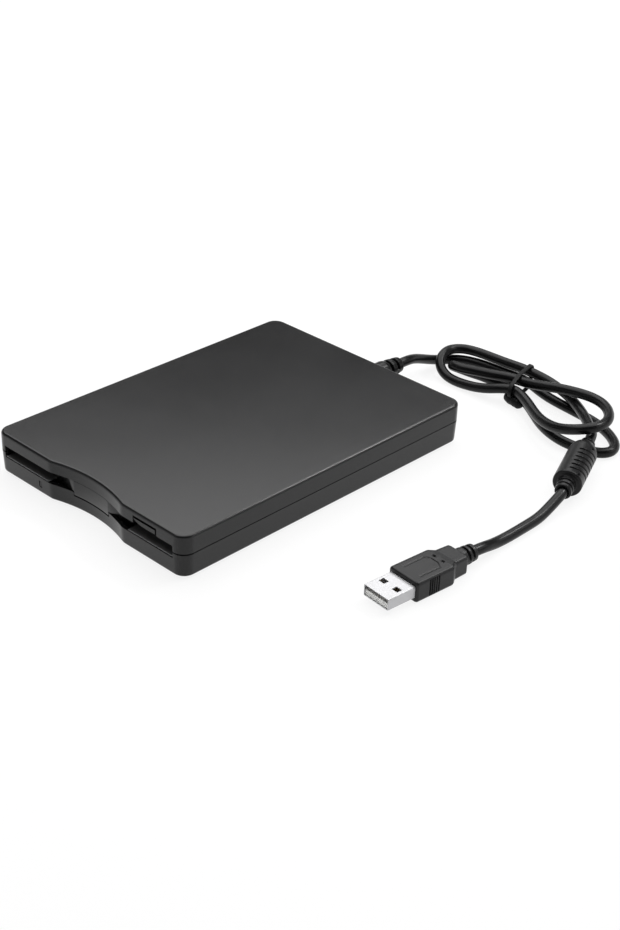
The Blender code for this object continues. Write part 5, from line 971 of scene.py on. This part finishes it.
def door_face(x):
    """How far forwards the face stands: along the recess's arc in the middle, then an eased fall."""
    arc_y = -68.6 - np.minimum(np.abs(x), DOOR_MIDDLE) ** 2 / (2 * RECESS_ROUND)
    u = np.clip((DOOR_BLEND - np.abs(x)) / (DOOR_BLEND - DOOR_MIDDLE), 0, 1)
    return DOOR_PLATE + (arc_y - DOOR_PLATE) * u * u * (3 - 2 * u)


def door_section(x, low):
    """The door's outline across its length: a flat back and a front with small bevels."""
    face = door_face(x)
    ease = min(DOOR_BEVEL, (DOOR_BACK - face) * 0.4)
    yz = np.array([(DOOR_BACK, low), (face + ease, low), (face + ease * 0.3, low + ease * 0.3),
                   (face, low + ease), (face, DOOR_HIGH - ease * 0.5), (face + ease * 0.5, DOOR_HIGH),
                   (DOOR_BACK, DOOR_HIGH)])
    return np.column_stack([np.full(len(yz), x), yz]) * MM


STEP_LEAN = 0.01  # mm: two sections at one place would fold the grid flat, so each step leans a little
half = [(x, low) for near, far, low, count in DOOR_SPANS
        for x in np.linspace(near + STEP_LEAN * (near > 0), far, count)]
door_rows = [door_section(-x, low) for x, low in half[:0:-1]] + [door_section(x, low) for x, low in half]
PIN_YZ, KNUCKLE, BORE_SIDES, KNUCKLE_SIDES = (-67.4, 13.1), (17.0, 20.5), 20, 24


def pin_round(radius, ends, sides):
    """A scratch round solid along the door's pin, between two places in mm."""
    ring = arc(PIN_YZ, radius, 0, math.tau, sides)[:-1]
    return solid_of("round", [np.column_stack([np.full(sides, x), ring]) * MM for x in ends], sides)


hinges, pin_bores = [], []
for side_x in (-1, 1):
    ends = [side_x * x for x in KNUCKLE]
    hinges += [pin_round(0.95, ends, KNUCKLE_SIDES), block(sorted(ends), (-67.95, -67.4), (11.6, 12.45))]
    pin_bores.append(pin_round(0.65, (side_x * 16.5, side_x * 21.0), BORE_SIDES))
door = finished("door_skin", carved(solid_of("door", door_rows, 7), pin_bores, hinges), COVER, "dust_flap",
                ("dust_door",), 40)
print("door faces:", len(door.data.polygons), "front y mm:", door_face(np.array((0.0, DOOR_MIDDLE))).round(2))

# %% [markdown]
# The button is a bar with a swept lower edge. It sits lower than its notch, so a dark gap shows
# above it and on its right, and its front edges are rounded.

# %% Eject button
BUTTON_X, BUTTON_Z = (26.4, 37.35), (12.72, 14.35)
SWEEP_LONG, SWEEP_TALL = 5.0, 1.3
sweep = np.linspace(0, 1, 12)
button_outline = [(BUTTON_X[0], BUTTON_Z[1]), (BUTTON_X[0], BUTTON_Z[0] + SWEEP_TALL)]
button_outline += [(BUTTON_X[0] + SWEEP_LONG * u, BUTTON_Z[0] + SWEEP_TALL * (1 - u) ** 2) for u in sweep[1:]]
button_outline += [(BUTTON_X[1], BUTTON_Z[0]), (BUTTON_X[1], BUTTON_Z[1])]
button_outline = np.array(button_outline)
button_x, button_z = button_outline.T
button_rows = [np.column_stack([button_x, np.full(len(button_x), y), button_z]) * MM for y in (-71.95, -70.6)]
stem = block((28.2, 35.9), (-70.9, -66.8), (12.9, 14.3))
stem_hollow = block((29.6, 35.2), (-70.4, -66), (13.0, 14.2))
button = finished(
    "button_skin", carved(solid_of("button", button_rows, len(button_x)), [stem_hollow], [stem]), COVER,
    "eject_slide", ("eject_button",), 30,
)
soften(button, 0.28 * MM, 3, 40)
print("button wide mm:", round(BUTTON_X[1] - BUTTON_X[0], 2))

# %% [markdown]
# Coils take the places of plain sleeves. A coil is a tube whose centre runs along a helix.

# %% Springs
WIRE_SIDES, TURN_STEPS = 10, 20


def box_of(node):
    """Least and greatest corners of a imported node, in metres."""
    corners = np.array([node.matrix_world @ Vector(c) for c in node.bound_box])
    return corners.min(axis=0), corners.max(axis=0)


def coil(name, node, axis, wire, turns, body):
    """A helical spring in a node's box: end coils lie closer together than the middle ones."""
    low, high = box_of(NODES[node])
    middle, across = (low + high) / 2, [k for k in range(3) if k != axis]
    ring = (high[across[0]] - low[across[0]]) / 2 - wire
    u = np.linspace(0, 1, int(turns * TURN_STEPS))
    share = u - 0.06 * np.sin(math.tau * u)
    path, span = np.zeros((len(u), 3)), high[axis] - low[axis] - 2 * wire
    path[:, axis] = low[axis] + wire + span * ((1 - np.cos(math.pi * share)) / 2 * 0.3 + share * 0.7)
    path[:, across[0]] = middle[across[0]] + ring * np.cos(math.tau * turns * u)
    path[:, across[1]] = middle[across[1]] + ring * np.sin(math.tau * turns * u)
    return piece(name, tube_points(path, wire, WIRE_SIDES), grid_faces(len(u), WIRE_SIDES), STEEL, body,
                 (node,), 50)


for name, node, axis, wire, turns, body in (
    ("door_coil", "door_spring", 0, 0.09 * MM, 9, "housing"),
    ("eject_coil", "eject_spring", 1, 0.16 * MM, 14, "housing"),
    ("arm_coil", "arm_spring", 0, 0.16 * MM, 5, "head_sled"),
):
    print(name, "points:", len(coil(name, node, axis, wire, turns, body).data.vertices))

# %% [markdown]
# The lead screw's thread is a cylinder whose radius falls near a helix. Its groove moves on by the
# lead in each turn, so it stays with the carriage as the screw turns.

# %% Lead screw
SCREW_LEAD, THREAD_DEEP, THREAD_HALF = 3.0 * MM, 0.28 * MM, 0.16
screw_low, screw_high = box_of(NODES["lead_screw"])
screw_radius = (screw_high[2] - screw_low[2]) / 2
screw_at = np.linspace(screw_low[1], screw_high[1], 420)
screw_turn = np.linspace(0, math.tau, 40, endpoint=False)
phase = (screw_at[:, None] / SCREW_LEAD + screw_turn[None] / math.tau) % 1.0
ends = np.clip(np.minimum(screw_at - screw_low[1], screw_high[1] - screw_at) / (0.8 * MM) - 1, 0, 1)
reach = screw_radius - THREAD_DEEP * line_dip(phase, 0.5, THREAD_HALF) * ends[:, None]
screw_points = np.stack([
    (screw_low[0] + screw_high[0]) / 2 + reach * np.cos(screw_turn),
    np.broadcast_to(screw_at[:, None], reach.shape),
    (screw_low[2] + screw_high[2]) / 2 + reach * np.sin(screw_turn),
], axis=-1).reshape(-1, 3)
piece("threaded_screw", screw_points, grid_faces(len(screw_at), len(screw_turn)), STEEL, "screw_shaft",
      ("lead_screw",), 50)
print("screw turns in sight:", round((screw_high[1] - screw_low[1]) / SCREW_LEAD, 1))

# %% [markdown]
# Each tooth of the stator carries a coil: a rounded sleeve along the tooth, rippled by its wire.

# %% Stator windings
WIRE_PITCH, WIND_FROM, WIND_TO = 0.3, 6.6, 8.9
TEETH, TOOTH_SHARE = 9, 0.275
stator_mid = sum(box_of(NODES["stator"])) / 2
for tooth in range(TEETH):
    turned_by = math.tau * (tooth + TOOTH_SHARE) / TEETH
    out_way = np.array((math.cos(turned_by), math.sin(turned_by), 0.0))
    flat_way = np.array((-out_way[1], out_way[0], 0.0))
    wound = []
    for r in np.linspace(WIND_FROM, WIND_TO, 32):
        wide = r * math.tan(math.tau * TOOTH_SHARE / TEETH) * 0.97 + 0.12
        bulge = 0.05 * abs(math.sin(math.pi * (r - WIND_FROM) / WIRE_PITCH))
        section = rounded_section(wide + bulge, 0.46 + bulge, 0.3, 6, 4) * MM
        wound.append(stator_mid + out_way * r * MM + flat_way * section[:, :1] + UP * section[:, 1:])
    piece(f"winding_{tooth}", np.concatenate(wound), grid_faces(len(wound), len(wound[0])), COPPER, "housing",
          sharp=60)
print("windings:", TEETH)

# %% [markdown]
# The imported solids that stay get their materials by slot, and their hard edges are broken by a
# narrow bevel, as stamped sheet and moulded plastic have.

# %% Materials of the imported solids
BY_SLOT = {
    "cover_plastic": COVER, "inner_plastic": INNER, "lens_plastic": LENS, "rubber": RUBBER,
    "screw_steel": SCREW, "zinc_sheet": SHEET, "bright_steel": STEEL, "white_plastic": WHITE,
    "board": BOARD, "copper": COPPER, "ceramic": CERAMIC, "brass": BRONZE, "cord_plastic": CORD,
    "grip_plastic": GRIP, "plated_shell": SHELL,
}
for part in frame["record"]["subparts"]:
    solid = NODES[part["node"]]
    solid.data.materials.clear()
    solid.data.materials.append(BEZEL if part["node"] == "front_bezel" else BY_SLOT[part["material_slot"]])
    if not solid.hide_render:
        soften(solid, 0.12 * MM)
print("packed solids in sight:", sum(not solid.hide_render for solid in NODES.values()))

# %% [markdown]
# The floor is pale. The camera, gloss and glass see it as white through the Light Path node, while
# it lights the drive as plain paint does. A small share of the paint stays in sight, so the drive's
# shadow shows.

# %% Floor
FLOOR_WHITE, FLOOR_SHADE = 0.95, 0.14
FLOOR_HALF = 4
floor_mesh = bpy.data.meshes.new("floor")
floor_corners = [((2 * i - 1) * FLOOR_HALF, (2 * j - 1) * FLOOR_HALF, 0) for i, j in CORNERS]
floor_mesh.from_pydata(floor_corners, [], [(0, 1, 2, 3)])
floor = in_scene("floor", floor_mesh)


def seen_rays(tree):
    """Two values: 1 for rays from the camera, gloss or glass, and 1 for the camera's own, else 0."""
    rays = tree.nodes.new("ShaderNodeLightPath")
    either = add(tree, "ShaderNodeMath", operation="MAXIMUM")
    every = add(tree, "ShaderNodeMath", operation="MAXIMUM")
    tree.links.new(rays.outputs["Is Camera Ray"], either.inputs[0])
    tree.links.new(rays.outputs["Is Glossy Ray"], either.inputs[1])
    tree.links.new(either.outputs[0], every.inputs[0])
    tree.links.new(rays.outputs["Is Transmission Ray"], every.inputs[1])
    return every.outputs[0], rays.outputs["Is Camera Ray"]


floor_material = bpy.data.materials.new("pale_floor")
floor_material.use_nodes = True
floor_tree = floor_material.node_tree
floor_shader = floor_tree.nodes["Principled BSDF"]
floor_shader.inputs["Base Color"].default_value = (FLOOR_WHITE, FLOOR_WHITE, FLOOR_WHITE, 1)
floor_shader.inputs["Roughness"].default_value = 0.9
floor_shader.inputs["Specular IOR Level"].default_value = 0.0
white = add(floor_tree, "ShaderNodeEmission", Color=(1, 1, 1, 1), Strength=1.0)
floor_mix = floor_tree.nodes.new("ShaderNodeMixShader")
seen, _ = seen_rays(floor_tree)
kept = add(floor_tree, "ShaderNodeMath", operation="MULTIPLY")
kept.inputs[1].default_value = 1 - FLOOR_SHADE
floor_tree.links.new(seen, kept.inputs[0])
floor_tree.links.new(kept.outputs[0], floor_mix.inputs[0])
floor_tree.links.new(floor_shader.outputs[0], floor_mix.inputs[1])
floor_tree.links.new(white.outputs[0], floor_mix.inputs[2])
floor_tree.links.new(floor_mix.outputs[0], floor_tree.nodes["Material Output"].inputs["Surface"])
floor_mesh.materials.append(floor_material)
print("floor wide m:", 2 * FLOOR_HALF)

# %% [markdown]
# The surround is white to the camera. In mirrors it is white near the horizon and falls to a dim
# room above, and for plain light it falls sooner, so the lamps alone shape the drive.

# %% World
BACKDROP_TOP, MIRRORED_FROM, MIRRORED_TOP, ROOM = 0.10, 0.10, 0.28, 0.05
world = bpy.data.worlds.new("surround")
bpy.context.scene.world = world
world.use_nodes = True
tree = world.node_tree
tree.nodes.clear()
place = tree.nodes.new("ShaderNodeTexCoord")
split = tree.nodes.new("ShaderNodeSeparateXYZ")
tree.links.new(place.outputs["Generated"], split.inputs[0])
seen, straight = seen_rays(tree)
heights = []
for low, high in ((0.0, BACKDROP_TOP), (MIRRORED_FROM, MIRRORED_TOP)):
    fall = add(tree, "ShaderNodeMapRange", interpolation_type="SMOOTHSTEP")
    for label, value in (("From Min", low), ("From Max", high), ("To Min", 1.0), ("To Max", ROOM)):
        fall.inputs[label].default_value = value
    tree.links.new(split.outputs["Z"], fall.inputs["Value"])
    heights.append(fall.outputs["Result"])
strength = add(tree, "ShaderNodeMix", data_type="FLOAT")
tree.links.new(seen, strength.inputs[0])
tree.links.new(heights[0], strength.inputs[2])
tree.links.new(heights[1], strength.inputs[3])
backdrop = add(tree, "ShaderNodeBackground", Color=(1, 1, 1, 1), Strength=1.0)
room = add(tree, "ShaderNodeBackground", Color=(1, 1, 1, 1), Strength=1.0)
tree.links.new(strength.outputs[0], room.inputs["Strength"])
mix = tree.nodes.new("ShaderNodeMixShader")
out = tree.nodes.new("ShaderNodeOutputWorld")
tree.links.new(straight, mix.inputs[0])
tree.links.new(room.outputs[0], mix.inputs[1])
tree.links.new(backdrop.outputs[0], mix.inputs[2])
tree.links.new(mix.outputs[0], out.inputs[0])
print("dim room above, as a share of white:", ROOM)

# %% [markdown]
# One broad softbox hangs over the drive. Its far edge stands just above the line that the cover
# mirrors at its rear left corner, so the sheen grows from there towards the front right corner, as
# in the photograph. A narrow strip behind draws the bright line along the top's right edge.

# %% Lamps
AWAY = Vector((-0.73, 0.68, 0.0))  # the camera's view, on the floor
BOX_HIGH, BOX_FAR, BOX_NEAR, BOX_WIDE, BOX_RADIANCE = 0.9, 1.45, -0.2, 1.2, 3.0


def softbox(name, place, aim, size, radiance):
    """A rectangular area light at a place, turned towards an aim, sized in metres across and along."""
    data = bpy.data.lights.new(name, "AREA")
    data.shape, data.size, data.size_y = "RECTANGLE", *size
    data.energy = radiance * math.pi * size[0] * size[1]
    lamp = in_scene(name, data)
    lamp.location = place
    lamp.rotation_mode = "QUATERNION"
    lamp.rotation_quaternion = (Vector(aim) - Vector(place)).to_track_quat("-Z", "Y")
    return lamp


box_middle = AWAY * (BOX_FAR + BOX_NEAR) / 2
overhead = softbox("overhead", (box_middle.x, box_middle.y, BOX_HIGH), (box_middle.x, box_middle.y, 0.0),
                   (BOX_FAR - BOX_NEAR, BOX_WIDE), BOX_RADIANCE)
overhead.rotation_mode = "XYZ"
overhead.rotation_euler = (0.0, 0.0, math.atan2(AWAY.y, AWAY.x))
for name, place, aim, size, radiance in (
    ("right_rear", (0.95, 0.75, 0.62), (0.05, 0.0, 0.0), (0.9, 0.3), 2.5),
    ("rear_strip", (0.36, 0.87, 0.98), (0.02, 0.0, 0.0), (0.45, 0.16), 25.0),
    ("front_left", (-0.75, -1.0, 0.75), (0.0, -0.05, 0.0), (0.6, 0.6), 0.4),
):
    softbox(name, place, aim, size, radiance)
bpy.context.scene.view_settings.view_transform = "Standard"
print("lamps:", len(bpy.data.lights))
